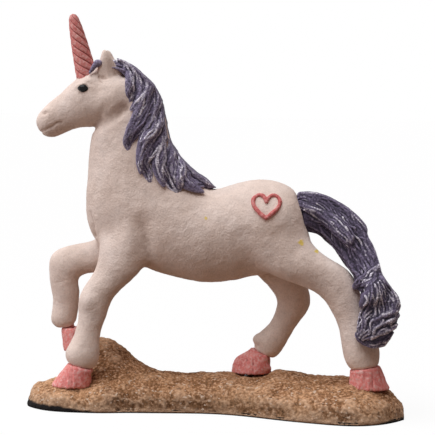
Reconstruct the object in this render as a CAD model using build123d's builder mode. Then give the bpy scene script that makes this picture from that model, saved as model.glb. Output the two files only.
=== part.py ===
from build123d import *
from math import atan2, cos, degrees, hypot, radians, sin
import os

os.makedirs("parts", exist_ok=True)

# Unicorn figurine: cast and modelled pieces pinned and glued together on a sandy plinth
# Millimetres, +Z up, facing -X, near side at -Y, origin in the middle of the underside

# Body casting: torso, neck and head
BODY_LENGTH = 80.0
BODY_RISE = 80.0
BODY_WIDTH = 26.0
BELLY_CLEARANCE = 38.1
HEAD_LENGTH = 35.0
HEAD_RISE = 27.0
HEAD_WIDTH = 13.6

# Legs and hooves
HIP_SPREAD = 13.0
STANCE_SPREAD = 18.0
FORE_GIRTH = 12.4
FORE_WIDTH = 9.0
HIND_GIRTH = 12.6
HIND_WIDTH = 9.6
RAISED_DROP = 34.8
HOOF_HEIGHT = 7.6
HOOF_LENGTH = 14.6
HOOF_WIDTH = 11.0
HOOF_TOE_REACH = 4.0
CORONET_GROWTH = 1.2
RAISED_HOOF_HEIGHT = 7.0
RAISED_SOLE_LENGTH = 10.0
RAISED_SOLE_TILT = 26.0
RAISED_HOOF_SETBACK = 2.0
RAISED_SPIGOT_DIAMETER = 2.4
RAISED_SPIGOT_LENGTH = 4.0

# Horn, ears, eyes and heart
HORN_LENGTH = 20.6
HORN_BASE_DIAMETER = 7.6
HORN_SEAT_DEPTH = 2.0
HORN_GROOVE_DEPTH = 0.5
HORN_SPIGOT_DIAMETER = 3.0
HORN_SPIGOT_LENGTH = 4.0
EAR_LENGTH = 11.0
EAR_WIDTH = 5.4
EAR_THICKNESS = 3.4
EAR_SPREAD = 6.8
EYE_LENGTH = 4.0
EYE_HEIGHT = 2.7
HEART_WIDTH = 10.6
HEART_HEIGHT = 8.6
HEART_BEAD = 1.6
HEART_LIFT = 0.2

# Mane and tail
CREST_WIDTH = 10.0
LOCK_WIDTH = 6.4
LOCK_THICKNESS = 4.6
LOCK_LIFT = 0.5
FORELOCK_WIDTH = 3.2
FORELOCK_THICKNESS = 2.6
TAIL_REACH = 29.0
TAIL_DROP = 46.0
TAIL_GIRTH = 15.0
TAIL_WIDTH = 10.0
TAIL_SIDE_SWING = 15.5
TAIL_SPIGOT_DIAMETER = 4.0
TAIL_SPIGOT_LENGTH = 7.0
TAIL_LOCK_GIRTH = 7.0
TAIL_LOCK_WIDTH = 6.0

# Plinth, pad and pins
BASE_FRONT_MARGIN = 8.3
BASE_REAR_MARGIN = 4.8
BASE_WIDTH = 54.0
BASE_HEIGHT = 24.0
PAD_THICKNESS = 1.2
PIN_DIAMETER = 1.6
PIN_RISE = 8.0
PIN_DEPTH = 12.5
PIN_CLEARANCE = 0.05
CUT_REACH = 60.0

NEAR, FAR = -1, 1

# Torso and neck: top length, top rise, bottom length, bottom rise, width
TORSO_SHARES = [
    (1.004, 0.356, 0.998, 0.219, 0.30),
    (0.938, 0.424, 0.963, 0.131, 0.78),
    (0.794, 0.469, 0.825, 0.048, 1.00),
    (0.656, 0.441, 0.706, 0.016, 0.93),
    (0.569, 0.419, 0.531, 0.000, 0.97),
    (0.500, 0.463, 0.319, 0.041, 0.95),
    (0.431, 0.531, 0.131, 0.106, 0.88),
    (0.381, 0.619, 0.019, 0.219, 0.80),
    (0.356, 0.719, 0.001, 0.431, 0.68),
    (0.325, 0.813, 0.009, 0.569, 0.58),
    (0.269, 0.894, 0.028, 0.666, 0.52),
    (0.194, 0.944, 0.081, 0.769, 0.44),
]

# Head from poll to muzzle: top length, top rise, bottom length, bottom rise, width
HEAD_SHARES = [
    (0.129, 0.926, 0.014, 0.556, 0.55),
    (0.314, 0.985, 0.100, 0.370, 0.88),
    (0.451, 0.926, 0.257, 0.222, 1.00),
    (0.557, 0.833, 0.423, 0.167, 0.97),
    (0.666, 0.704, 0.563, 0.144, 0.81),
    (0.794, 0.552, 0.729, 0.048, 0.68),
    (0.894, 0.441, 0.843, 0.004, 0.68),
    (0.971, 0.326, 0.934, 0.063, 0.52),
    (0.997, 0.260, 0.983, 0.140, 0.24),
]
HEAD_SEAT_SHARE = (0.200, 0.631)

# Legs: drop, bend, tilt in degrees, girth, width
NEAR_FORE_SHARES = [
    (0.000, 0.000, -11, 0.85, 0.65),
    (0.131, 0.000, -11, 1.42, 1.08),
    (0.269, -0.033, -11, 1.45, 1.12),
    (0.388, -0.100, -6, 1.19, 1.07),
    (0.479, -0.177, -2, 1.10, 1.02),
    (0.565, -0.217, 2, 1.00, 0.98),
    (0.660, -0.231, -1, 0.84, 0.85),
    (0.733, -0.252, -2, 0.76, 0.80),
    (0.835, -0.279, 3, 0.86, 0.92),
    (0.904, -0.294, -2, 0.97, 1.05),
    (0.956, -0.296, -5, 0.92, 1.00),
    (1.000, -0.298, -13, 0.69, 0.80),
]
FAR_FORE_SHARES = [
    (0.000, 0.000, -50, 1.13, 0.94),
    (0.115, -0.144, -58, 1.27, 1.20),
    (0.195, -0.316, -75, 1.17, 1.16),
    (0.236, -0.503, -86, 0.97, 1.03),
    (0.282, -0.672, -79, 1.00, 1.02),
    (0.336, -0.764, -56, 1.13, 1.02),
    (0.431, -0.793, -32, 1.08, 1.00),
    (0.546, -0.784, -12, 0.95, 0.94),
    (0.661, -0.773, -2, 0.85, 0.89),
    (0.761, -0.776, 0, 0.81, 0.87),
    (0.862, -0.787, 2, 0.84, 0.93),
    (0.943, -0.790, 0, 0.81, 0.93),
    (1.000, -0.776, 3, 0.60, 0.76),
]
RAISED_KNEE = 6
RAISED_CORONET_SHARE = 0.80
NEAR_HIND_SHARES = [
    (0.000, 0.000, 15, 1.19, 0.78),
    (0.105, 0.021, 20, 1.51, 1.14),
    (0.194, 0.084, 28, 1.52, 1.24),
    (0.269, 0.200, 31, 1.38, 1.20),
    (0.337, 0.360, 34, 1.22, 1.04),
    (0.398, 0.442, 35, 1.13, 0.96),
    (0.486, 0.497, 26, 1.03, 0.92),
    (0.596, 0.543, 20, 0.94, 0.88),
    (0.731, 0.596, 10, 0.97, 0.90),
    (0.836, 0.627, 4, 1.06, 0.98),
    (0.905, 0.640, 4, 1.03, 1.00),
    (0.956, 0.648, 6, 0.94, 0.96),
    (1.000, 0.665, 10, 0.76, 0.82),
]
FAR_HIND_SHARES = [
    (0.000, 0.000, 14, 1.11, 0.78),
    (0.123, 0.044, 8, 1.35, 1.09),
    (0.191, 0.074, 4, 1.38, 1.15),
    (0.290, 0.126, -6, 1.32, 1.09),
    (0.415, 0.194, -10, 1.14, 0.96),
    (0.514, 0.205, -13, 0.96, 0.88),
    (0.623, 0.153, -11, 0.83, 0.81),
    (0.740, 0.082, -11, 0.80, 0.79),
    (0.836, 0.005, -10, 0.92, 0.88),
    (0.929, -0.044, -19, 0.86, 0.88),
    (1.000, -0.096, -28, 0.60, 0.73),
]

# Hips on the torso: length, rise
NEAR_FORE_HIP_SHARE = (0.199, 0.269)
FAR_FORE_HIP_SHARE = (0.231, 0.194)
NEAR_HIND_HIP_SHARE = (0.875, 0.244)
FAR_HIND_HIP_SHARE = (0.849, 0.125)

# Soles above the floor, of the plinth height
NEAR_FORE_SOLE_SHARE = 0.308
NEAR_HIND_SOLE_SHARE = 0.413
FAR_HIND_SOLE_SHARE = 0.471

# Plinth: length, near edge, far edge (of the half width), then three heights across
BASE_SHARES = [
    (0.000, -0.250, 0.200, 0.180, 0.200, 0.165),
    (0.030, -0.520, 0.420, 0.275, 0.300, 0.255),
    (0.087, -0.680, 0.741, 0.354, 0.438, 0.420),
    (0.161, -0.711, 0.963, 0.375, 0.690, 0.890),
    (0.220, -0.685, 0.980, 0.417, 0.760, 0.830),
    (0.264, -0.630, 0.926, 0.438, 0.625, 0.645),
    (0.323, -0.585, 0.778, 0.430, 0.510, 0.450),
    (0.412, -0.526, 0.667, 0.420, 0.475, 0.430),
    (0.500, -0.500, 0.611, 0.442, 0.496, 0.454),
    (0.588, -0.593, 0.648, 0.458, 0.529, 0.525),
    (0.677, -0.778, 0.704, 0.438, 0.542, 0.521),
    (0.780, -0.944, 0.741, 0.417, 0.510, 0.458),
    (0.869, -1.000, 0.704, 0.417, 0.521, 0.458),
    (0.942, -0.833, 0.519, 0.354, 0.430, 0.354),
    (0.978, -0.640, 0.300, 0.255, 0.300, 0.240),
    (1.000, -0.470, 0.140, 0.165, 0.190, 0.150),
]
BASE_BANK_SHARE = 0.05
BASE_BANK_RISE_SHARE = 0.62

# Horn: height, radius
HORN_SHARES = [
    (0.000, 1.000), (0.060, 0.985), (0.120, 0.960), (0.180, 0.930), (0.240, 0.900),
    (0.300, 0.865), (0.360, 0.830), (0.420, 0.795), (0.480, 0.760), (0.540, 0.725),
    (0.600, 0.690), (0.660, 0.650), (0.720, 0.610), (0.780, 0.570), (0.840, 0.525),
    (0.900, 0.465), (0.950, 0.375), (0.985, 0.240), (1.000, 0.110),
]
HORN_SEAT_SHARE = (0.494, 0.922)
HORN_LEAN = 13.5
HORN_TWIST = 620.0
HORN_LOBES = 3

# Ears: height, width, thickness
EAR_SHARES = [
    (0.00, 0.62, 0.80), (0.22, 0.86, 1.00), (0.45, 1.00, 1.00),
    (0.68, 0.82, 0.80), (0.86, 0.48, 0.52), (1.00, 0.10, 0.16),
]
EAR_SEAT_SHARE = (0.266, 0.800)
EAR_SPLAY = 8.0
EAR_LEAN = 4.0

EYE_SHARE = (0.497, 0.678)
EYE_TURN = 32.0
HEART_SEAT_SHARE = (0.820, 0.355)
HEART_SHARES = [
    (0.00, 0.22), (0.10, 0.42), (0.25, 0.50), (0.42, 0.42), (0.50, 0.20),
    (0.42, -0.05), (0.26, -0.26), (0.11, -0.41), (0.00, -0.50),
]

# Mane crest: outer length, outer rise, inner length, inner rise, width
CREST_SHARES = [
    (0.125, 1.001, 0.144, 0.925, 0.50),
    (0.260, 0.940, 0.206, 0.856, 0.95),
    (0.349, 0.756, 0.269, 0.725, 1.00),
    (0.431, 0.564, 0.369, 0.506, 1.00),
    (0.563, 0.463, 0.531, 0.394, 0.65),
    (0.594, 0.440, 0.580, 0.394, 0.30),
]

# Mane locks: length, rise, width
NEAR_LOCK_SHARES = [
    [(0.185, 0.925, 0.60), (0.198, 0.880, 0.80),
     (0.192, 0.835, 0.62), (0.180, 0.795, 0.34), (0.170, 0.765, 0.12)],
    [(0.222, 0.900, 0.60), (0.254, 0.840, 0.95), (0.254, 0.775, 1.05),
     (0.228, 0.710, 0.95), (0.196, 0.648, 0.70), (0.178, 0.595, 0.42), (0.174, 0.558, 0.12)],
    [(0.280, 0.800, 0.60), (0.295, 0.735, 1.00), (0.288, 0.665, 1.15),
     (0.268, 0.595, 1.05), (0.258, 0.530, 0.80), (0.262, 0.470, 0.48), (0.272, 0.418, 0.12)],
    [(0.312, 0.690, 0.60), (0.328, 0.625, 1.00), (0.334, 0.555, 1.15),
     (0.342, 0.490, 0.95), (0.364, 0.430, 0.58), (0.388, 0.382, 0.12)],
    [(0.345, 0.600, 0.60), (0.382, 0.535, 1.00), (0.424, 0.475, 1.15),
     (0.480, 0.428, 0.95), (0.535, 0.402, 0.58), (0.580, 0.392, 0.12)],
]
FAR_LOCK_SHARES = [
    [(0.190, 0.905, 0.65), (0.200, 0.840, 0.85),
     (0.184, 0.775, 0.55), (0.172, 0.730, 0.12)],
    [(0.235, 0.880, 0.60), (0.268, 0.800, 1.05), (0.258, 0.715, 1.15),
     (0.222, 0.635, 0.90), (0.205, 0.565, 0.50), (0.208, 0.515, 0.12)],
    [(0.292, 0.765, 0.60), (0.308, 0.685, 1.10), (0.302, 0.600, 1.20),
     (0.290, 0.520, 0.90), (0.302, 0.450, 0.50), (0.322, 0.405, 0.12)],
    [(0.335, 0.630, 0.60), (0.366, 0.555, 1.10), (0.402, 0.485, 1.15),
     (0.452, 0.430, 0.85), (0.502, 0.398, 0.45), (0.540, 0.385, 0.12)],
]
FORELOCK_SHARES = [
    (0.075, 0.955, 0.70), (0.045, 0.952, 1.00), (0.020, 0.938, 0.80), (0.006, 0.920, 0.20),
]

# Tail: reach, drop, side swing, tilt in degrees, girth, width
TAIL_SHARES = [
    (0.000, 0.000, 0.00, 105, 0.80, 0.75),
    (0.266, 0.033, 0.02, 81, 0.96, 1.00),
    (0.466, 0.109, 0.10, 71, 1.00, 1.05),
    (0.610, 0.207, 0.25, 63, 1.04, 1.05),
    (0.717, 0.309, 0.42, 60, 1.00, 1.00),
    (0.807, 0.420, 0.62, 52, 0.90, 0.95),
    (0.890, 0.540, 0.82, 33, 0.76, 0.88),
    (0.969, 0.646, 0.95, 21, 0.92, 0.92),
    (1.000, 0.763, 1.00, 9, 0.97, 0.95),
    (0.966, 0.861, 1.00, 2, 0.95, 0.95),
    (0.928, 0.950, 0.95, -4, 0.70, 0.75),
    (0.920, 1.000, 0.90, -2, 0.38, 0.40),
]
TAIL_WAIST = 6
TAIL_CURL_SHARES = [
    (0.170, -0.020, 0.10, 68, 0.45, 0.45),
    (0.345, 0.026, 0.26, 62, 0.85, 0.90),
    (0.500, 0.100, 0.44, 48, 1.00, 1.00),
    (0.600, 0.190, 0.58, 30, 0.85, 0.90),
    (0.630, 0.260, 0.62, 5, 0.55, 0.60),
    (0.607, 0.300, 0.58, -20, 0.20, 0.22),
]
TAIL_BAND_SHARES = [
    (1.060, 0.470, 1.00, -50, 0.30, 0.32),
    (0.990, 0.530, 1.16, -50, 0.85, 0.85),
    (0.900, 0.590, 1.24, -50, 1.00, 0.95),
    (0.800, 0.650, 1.22, -48, 0.75, 0.80),
    (0.730, 0.710, 1.14, -45, 0.25, 0.28),
]
TAIL_SEAT_SHARE = (0.969, 0.331)


def along_share(pair):
    """Offset of a point in the body box from the chest and the belly."""
    return pair[0] * BODY_LENGTH, pair[1] * BODY_RISE


# Heights of the soles and ankles, and the leg drops they leave
near_fore_sole = NEAR_FORE_SOLE_SHARE * BASE_HEIGHT
near_hind_sole = NEAR_HIND_SOLE_SHARE * BASE_HEIGHT
far_hind_sole = FAR_HIND_SOLE_SHARE * BASE_HEIGHT
belly_z = near_fore_sole + BELLY_CLEARANCE
near_fore_drop = belly_z + along_share(NEAR_FORE_HIP_SHARE)[1] - near_fore_sole - HOOF_HEIGHT
near_hind_drop = belly_z + along_share(NEAR_HIND_HIP_SHARE)[1] - near_hind_sole - HOOF_HEIGHT
far_hind_drop = belly_z + along_share(FAR_HIND_HIP_SHARE)[1] - far_hind_sole - HOOF_HEIGHT

# Lengthwise layout: the plinth reaches past the outer hooves by its end margins
fore_reach = along_share(NEAR_FORE_HIP_SHARE)[0] + NEAR_FORE_SHARES[-1][1] * near_fore_drop - HOOF_TOE_REACH
hind_reach = along_share(NEAR_HIND_HIP_SHARE)[0] + NEAR_HIND_SHARES[-1][1] * near_hind_drop + HOOF_TOE_REACH / 2
base_length = BASE_FRONT_MARGIN + HOOF_LENGTH + hind_reach - fore_reach + BASE_REAR_MARGIN
chest_x = BASE_FRONT_MARGIN + HOOF_LENGTH / 2 - fore_reach - base_length / 2
head_x = chest_x + along_share(HEAD_SEAT_SHARE)[0]
head_z = belly_z + along_share(HEAD_SEAT_SHARE)[1]
tail_x = chest_x + along_share(TAIL_SEAT_SHARE)[0]
tail_z = belly_z + along_share(TAIL_SEAT_SHARE)[1]


def ring_plane(x, y, z, tilt):
    """Plane across a limb: its x axis leans by the tilt, its y axis runs sideways."""
    lean = radians(tilt)
    return Plane(origin=(x, y, z), x_dir=(cos(lean), 0, sin(lean)), z_dir=(sin(lean), 0, -cos(lean)))


def ring(plane, depth, width):
    """Oval section on a plane."""
    with BuildSketch(plane) as oval:
        Circle(depth / 2)
        scale(by=(1, width / depth, 1))
    return oval.sketch


def spanning_plane(top, bottom):
    """Plane of a section between two points of the middle plane, and the distance between them."""
    rise = top[1] - bottom[1]
    run = top[0] - bottom[0]
    plane = ring_plane((top[0] + bottom[0]) / 2, 0, (top[1] + bottom[1]) / 2, degrees(atan2(rise, run)))
    return plane, hypot(run, rise)


def tall_ring(top, bottom, width):
    """True ellipse between two points of the middle plane, taller than it is wide."""
    plane, depth = spanning_plane(top, bottom)
    with BuildSketch(plane) as oval:
        Ellipse(depth / 2, width / 2)
    return oval.sketch


def torso_rings():
    """Sections of the torso and neck from the rump to the throat."""
    rings = []
    for top_l, top_r, low_l, low_r, w in TORSO_SHARES:
        top = (chest_x + top_l * BODY_LENGTH, belly_z + top_r * BODY_RISE)
        low = (chest_x + low_l * BODY_LENGTH, belly_z + low_r * BODY_RISE)
        rings.append(tall_ring(top, low, w * BODY_WIDTH))
    return rings


def head_rings():
    """Sections of the head from the poll to the lips."""
    rings = []
    for top_l, top_r, low_l, low_r, w in HEAD_SHARES:
        top = (head_x - top_l * HEAD_LENGTH, head_z + top_r * HEAD_RISE)
        low = (head_x - low_l * HEAD_LENGTH, head_z + low_r * HEAD_RISE)
        rings.append(tall_ring(top, low, w * HEAD_WIDTH))
    return rings


def leg_planes(hip_share, drop, rows, side):
    """Section planes of a leg from the hip down to the ankle."""
    hip_x = chest_x + along_share(hip_share)[0]
    hip_z = belly_z + along_share(hip_share)[1]
    planes = []
    for fall, bend, tilt, _, _ in rows:
        y = side * (HIP_SPREAD + (STANCE_SPREAD - HIP_SPREAD) * fall) / 2
        planes.append(ring_plane(hip_x + bend * drop, y, hip_z - fall * drop, tilt))
    return planes


def leg_rings(planes, rows, girth, width):
    """Oval sections of a leg."""
    return [ring(plane, row[3] * girth, row[4] * width) for plane, row in zip(planes, rows)]


def hoof_rings(ankle, coronet_depth, coronet_width, sole_plane, sole_length):
    """Coronet in the plane of the ankle and sole on its own plane."""
    top = ring(ankle, coronet_depth + CORONET_GROWTH, coronet_width + CORONET_GROWTH)
    return [top, ring(sole_plane, sole_length, HOOF_WIDTH)]


def pin_plane(planes):
    """Plane at the ankle whose z axis runs up the lower leg."""
    ankle = planes[-1].origin
    return Plane(origin=ankle, x_dir=(0, 1, 0), z_dir=planes[-3].origin - ankle)


def horn_sections():
    """Three-lobed sections that turn up the horn, so their notches run as spiral grooves."""
    lean = radians(HORN_LEAN)
    axis = Vector(-sin(lean), 0, cos(lean))
    seat = Vector(head_x - HORN_SEAT_SHARE[0] * HEAD_LENGTH, 0, head_z + HORN_SEAT_SHARE[1] * HEAD_RISE)
    foot = seat - axis * HORN_SEAT_DEPTH
    step = 360 / HORN_LOBES
    sections = []
    for height, swell in HORN_SHARES:
        radius = swell * HORN_BASE_DIAMETER / 2
        notch = radius - HORN_GROOVE_DEPTH * swell
        place = foot + axis * height * (HORN_LENGTH + HORN_SEAT_DEPTH)
        plane = Plane(origin=place, x_dir=(cos(lean), 0, sin(lean)), z_dir=axis)
        with BuildSketch(plane.rotated((0, 0, height * HORN_TWIST))) as lobes:
            with BuildLine():
                for lobe in range(HORN_LOBES):
                    start, middle, end = lobe * step, (lobe + 1 / 2) * step, (lobe + 1) * step
                    ThreePointArc(polar(notch, start), polar(radius, middle), polar(notch, end))
            make_face()
        sections.append(lobes.sketch)
    return sections, Plane(origin=foot, z_dir=axis)


def polar(radius, angle):
    """Point of a plane at a radius and an angle in degrees."""
    return radius * cos(radians(angle)), radius * sin(radians(angle))


def ear_rings(side):
    """Leaf-shaped sections of an ear, splayed outwards."""
    splay, lean = radians(EAR_SPLAY), radians(EAR_LEAN)
    axis = Vector(-sin(lean), side * sin(splay), cos(lean) * cos(splay))
    foot = Vector(
        head_x - EAR_SEAT_SHARE[0] * HEAD_LENGTH, side * EAR_SPREAD / 2, head_z + EAR_SEAT_SHARE[1] * HEAD_RISE
    )
    rings = []
    for height, width, thickness in EAR_SHARES:
        plane = Plane(origin=foot + axis * height * EAR_LENGTH, x_dir=(1, 0, 0), z_dir=axis)
        rings.append(ring(plane, width * EAR_WIDTH, thickness * EAR_THICKNESS))
    return rings


def skin_place(x, z, side):
    """Point and outward normal where a sideways line first meets the body."""
    start = Vector(x, side * CUT_REACH, z)
    hits = body_form.part.solid().shells()[0].find_intersection_points(Axis(start, (0, -side, 0)))
    point, normal = min(hits, key=lambda hit: (hit[0] - start).length)
    outward = normal if normal.Y * side > 0 else -normal
    return point, outward


def lifted_place(x, z, side, lift):
    """Point raised off the skin of the body along its normal."""
    point, normal = skin_place(x, z, side)
    return point + normal * lift


def lock_rings(rows, side, width, thickness):
    """Oval sections of a lock of hair that follows the skin of the body."""
    places = [
        skin_place(chest_x + length * BODY_LENGTH, belly_z + rise * BODY_RISE, side) for length, rise, _ in rows
    ]
    rings = []
    for index, row in enumerate(rows):
        point, normal = places[index]
        before = places[max(index - 1, 0)][0]
        after = places[min(index + 1, len(rows) - 1)][0]
        tangent = (after - before).normalized()
        plane = Plane(
            origin=point + normal * LOCK_LIFT, x_dir=normal.cross(tangent), z_dir=tangent
        )
        rings.append(ring(plane, row[2] * width, row[2] * thickness))
    return rings


def tail_rings(rows, girth, width):
    """Oval sections of a tail piece measured from the dock."""
    rings = []
    for reach, fall, swing, tilt, thick, wide in rows:
        plane = ring_plane(
            tail_x + reach * TAIL_REACH, NEAR * swing * TAIL_SIDE_SWING, tail_z - fall * TAIL_DROP, tilt
        )
        rings.append(ring(plane, thick * girth, wide * width))
    return rings


def bank_profile(row):
    """Cross section of the plinth: steep banks and a rounded sandy top, reaching below the floor."""
    length, near, far, low, middle, high = row
    x = (length - 1 / 2) * base_length
    near_y, far_y = near * BASE_WIDTH / 2, far * BASE_WIDTH / 2
    span = far_y - near_y
    bank = span * BASE_BANK_SHARE
    below = -PAD_THICKNESS
    heights = [share * BASE_HEIGHT for share in (low, middle, high)]
    plane = Plane(origin=(x, 0, 0), x_dir=(0, 1, 0), z_dir=(1, 0, 0))
    with BuildSketch(plane) as profile:
        with BuildLine():
            Spline(
                (near_y, below),
                (near_y + bank, heights[0] * BASE_BANK_RISE_SHARE),
                (near_y + span / 4, heights[0]),
                (near_y + span / 2, heights[1]),
                (far_y - span / 4, heights[2]),
                (far_y - bank, heights[2] * BASE_BANK_RISE_SHARE),
                (far_y, below),
            )
            Line((far_y, below), (near_y, below))
        make_face()
    return profile.sketch


# Whole skin of the body before its sockets, which the other pieces are seated on
with BuildPart() as body_form:
    loft(torso_rings())
    loft(head_rings())

# Legs: swept limbs with a rounded cuff above the hoof, let into the body at the top
near_fore_planes = leg_planes(NEAR_FORE_HIP_SHARE, near_fore_drop, NEAR_FORE_SHARES, NEAR)
far_fore_planes = leg_planes(FAR_FORE_HIP_SHARE, RAISED_DROP, FAR_FORE_SHARES, FAR)
near_hind_planes = leg_planes(NEAR_HIND_HIP_SHARE, near_hind_drop, NEAR_HIND_SHARES, NEAR)
far_hind_planes = leg_planes(FAR_HIND_HIP_SHARE, far_hind_drop, FAR_HIND_SHARES, FAR)
hole_radius = PIN_DIAMETER / 2 + PIN_CLEARANCE
pin_length = PIN_RISE + PIN_DEPTH


def pin_seat(planes):
    """Plane at the foot of a leg pin, below the ankle."""
    return pin_plane(planes).offset(-PIN_DEPTH)


def sole_plane(ankle, reach, sole_z):
    """Level plane of a standing hoof's sole, ahead of or behind the ankle."""
    return Plane(origin=(ankle.origin.X + reach, ankle.origin.Y, sole_z), x_dir=(1, 0, 0), z_dir=(0, 0, -1))


# Steel pins that run from each standing leg through its hoof into the plinth
with BuildPart(pin_seat(near_fore_planes)) as near_fore_pin:
    Cylinder(PIN_DIAMETER / 2, pin_length, align=(Align.CENTER, Align.CENTER, Align.MIN))
with BuildPart(pin_seat(near_hind_planes)) as near_hind_pin:
    Cylinder(PIN_DIAMETER / 2, pin_length, align=(Align.CENTER, Align.CENTER, Align.MIN))
with BuildPart(pin_seat(far_hind_planes)) as far_hind_pin:
    Cylinder(PIN_DIAMETER / 2, pin_length, align=(Align.CENTER, Align.CENTER, Align.MIN))

# Holes for the three pins, wider all round by the clearance and longer at both ends
with BuildPart(pin_seat(near_fore_planes).offset(-PIN_CLEARANCE)) as near_fore_hole:
    Cylinder(hole_radius, pin_length + 2 * PIN_CLEARANCE, align=(Align.CENTER, Align.CENTER, Align.MIN))
with BuildPart(pin_seat(near_hind_planes).offset(-PIN_CLEARANCE)) as near_hind_hole:
    Cylinder(hole_radius, pin_length + 2 * PIN_CLEARANCE, align=(Align.CENTER, Align.CENTER, Align.MIN))
with BuildPart(pin_seat(far_hind_planes).offset(-PIN_CLEARANCE)) as far_hind_hole:
    Cylinder(hole_radius, pin_length + 2 * PIN_CLEARANCE, align=(Align.CENTER, Align.CENTER, Align.MIN))

# Hooves: from a coronet under the cuff to a wider sole sunk in the sand
with BuildPart() as near_fore_hoof:
    loft(hoof_rings(
        near_fore_planes[-1], NEAR_FORE_SHARES[-1][3] * FORE_GIRTH, NEAR_FORE_SHARES[-1][4] * FORE_WIDTH,
        sole_plane(near_fore_planes[-1], -HOOF_TOE_REACH, near_fore_sole), HOOF_LENGTH,
    ))
    add(near_fore_hole.part, mode=Mode.SUBTRACT)
with BuildPart() as near_hind_hoof:
    loft(hoof_rings(
        near_hind_planes[-1], NEAR_HIND_SHARES[-1][3] * HIND_GIRTH, NEAR_HIND_SHARES[-1][4] * HIND_WIDTH,
        sole_plane(near_hind_planes[-1], HOOF_TOE_REACH / 2, near_hind_sole), HOOF_LENGTH,
    ))
    add(near_hind_hole.part, mode=Mode.SUBTRACT)
with BuildPart() as far_hind_hoof:
    loft(hoof_rings(
        far_hind_planes[-1], FAR_HIND_SHARES[-1][3] * HIND_GIRTH, FAR_HIND_SHARES[-1][4] * HIND_WIDTH,
        sole_plane(far_hind_planes[-1], -HOOF_TOE_REACH, far_hind_sole), HOOF_LENGTH,
    ))
    add(far_hind_hole.part, mode=Mode.SUBTRACT)

# Raised hoof: hangs from the lifted leg on its own short spigot, the sole turned back
raised_ankle = far_fore_planes[-1]
raised_sole = ring_plane(
    raised_ankle.origin.X + HOOF_TOE_REACH, raised_ankle.origin.Y,
    raised_ankle.origin.Z - RAISED_HOOF_HEIGHT, RAISED_SOLE_TILT,
)
raised_coronet = Plane(
    origin=raised_ankle.origin + raised_ankle.x_dir * RAISED_HOOF_SETBACK,
    x_dir=raised_ankle.x_dir, z_dir=raised_ankle.z_dir,
)
with BuildPart() as far_fore_hoof:
    loft(hoof_rings(
        raised_coronet, RAISED_CORONET_SHARE * FAR_FORE_SHARES[-1][3] * FORE_GIRTH,
        FAR_FORE_SHARES[-1][4] * FORE_WIDTH, raised_sole, RAISED_SOLE_LENGTH,
    ))
    with BuildSketch(raised_coronet):
        Circle(RAISED_SPIGOT_DIAMETER / 2)
    extrude(amount=-RAISED_SPIGOT_LENGTH)

with BuildPart() as near_fore_leg:
    loft(leg_rings(near_fore_planes, NEAR_FORE_SHARES, FORE_GIRTH, FORE_WIDTH))
    add(near_fore_hole.part, mode=Mode.SUBTRACT)
raised_rings = leg_rings(far_fore_planes, FAR_FORE_SHARES, FORE_GIRTH, FORE_WIDTH)
with BuildPart() as far_fore_leg:
    loft(raised_rings[:RAISED_KNEE + 1])
    loft(raised_rings[RAISED_KNEE:])
    add(far_fore_hoof.part, mode=Mode.SUBTRACT)
with BuildPart() as near_hind_leg:
    loft(leg_rings(near_hind_planes, NEAR_HIND_SHARES, HIND_GIRTH, HIND_WIDTH))
    add(near_hind_hole.part, mode=Mode.SUBTRACT)
with BuildPart() as far_hind_leg:
    loft(leg_rings(far_hind_planes, FAR_HIND_SHARES, HIND_GIRTH, HIND_WIDTH))
    add(far_hind_hole.part, mode=Mode.SUBTRACT)

# Spiral horn on a round spigot
horn_rings, horn_foot = horn_sections()
with BuildPart() as horn:
    loft(horn_rings)
    with BuildSketch(horn_foot):
        Circle(HORN_SPIGOT_DIAMETER / 2)
    extrude(amount=-HORN_SPIGOT_LENGTH)

# Ears let into the poll
with BuildPart() as near_ear:
    loft(ear_rings(NEAR))
with BuildPart() as far_ear:
    loft(ear_rings(FAR))


def eye_plane(side):
    """Plane on the skin of the face, turned along the eye slit."""
    point, normal = skin_place(head_x - EYE_SHARE[0] * HEAD_LENGTH, head_z + EYE_SHARE[1] * HEAD_RISE, side)
    turn = radians(EYE_TURN)
    return Plane(origin=point, x_dir=(-cos(turn), 0, -sin(turn)), z_dir=normal)


# Glass bead eyes: spheroids let half way into the face
with BuildPart() as near_eye:
    with BuildSketch(eye_plane(NEAR)):
        Ellipse(EYE_LENGTH / 2, EYE_HEIGHT / 2)
        Rectangle(EYE_LENGTH, EYE_HEIGHT, align=(Align.CENTER, Align.MAX), mode=Mode.SUBTRACT)
    revolve(axis=Axis(eye_plane(NEAR).origin, eye_plane(NEAR).x_dir))
with BuildPart() as far_eye:
    with BuildSketch(eye_plane(FAR)):
        Ellipse(EYE_LENGTH / 2, EYE_HEIGHT / 2)
        Rectangle(EYE_LENGTH, EYE_HEIGHT, align=(Align.CENTER, Align.MAX), mode=Mode.SUBTRACT)
    revolve(axis=Axis(eye_plane(FAR).origin, eye_plane(FAR).x_dir))

# Tail: a switch on a spigot and a brush that meet at the waist, with two locks laid over them
waist_row = TAIL_SHARES[TAIL_WAIST]
tail_waist = ring_plane(
    tail_x + waist_row[0] * TAIL_REACH, NEAR * waist_row[2] * TAIL_SIDE_SWING,
    tail_z - waist_row[1] * TAIL_DROP, waist_row[3],
)
with BuildPart() as tail_form:
    loft(tail_rings(TAIL_SHARES, TAIL_GIRTH, TAIL_WIDTH))
with BuildPart() as tail_upper:
    add(tail_form.part)
    split(bisect_by=tail_waist, keep=Keep.BOTTOM)
    with BuildSketch(ring_plane(tail_x, 0, tail_z, TAIL_SHARES[0][3])):
        Circle(TAIL_SPIGOT_DIAMETER / 2)
    extrude(amount=-TAIL_SPIGOT_LENGTH)
    add(near_hind_leg.part, mode=Mode.SUBTRACT)
with BuildPart() as tail_lower:
    add(tail_form.part)
    split(bisect_by=tail_waist, keep=Keep.TOP)
    add(near_hind_leg.part, mode=Mode.SUBTRACT)
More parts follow.
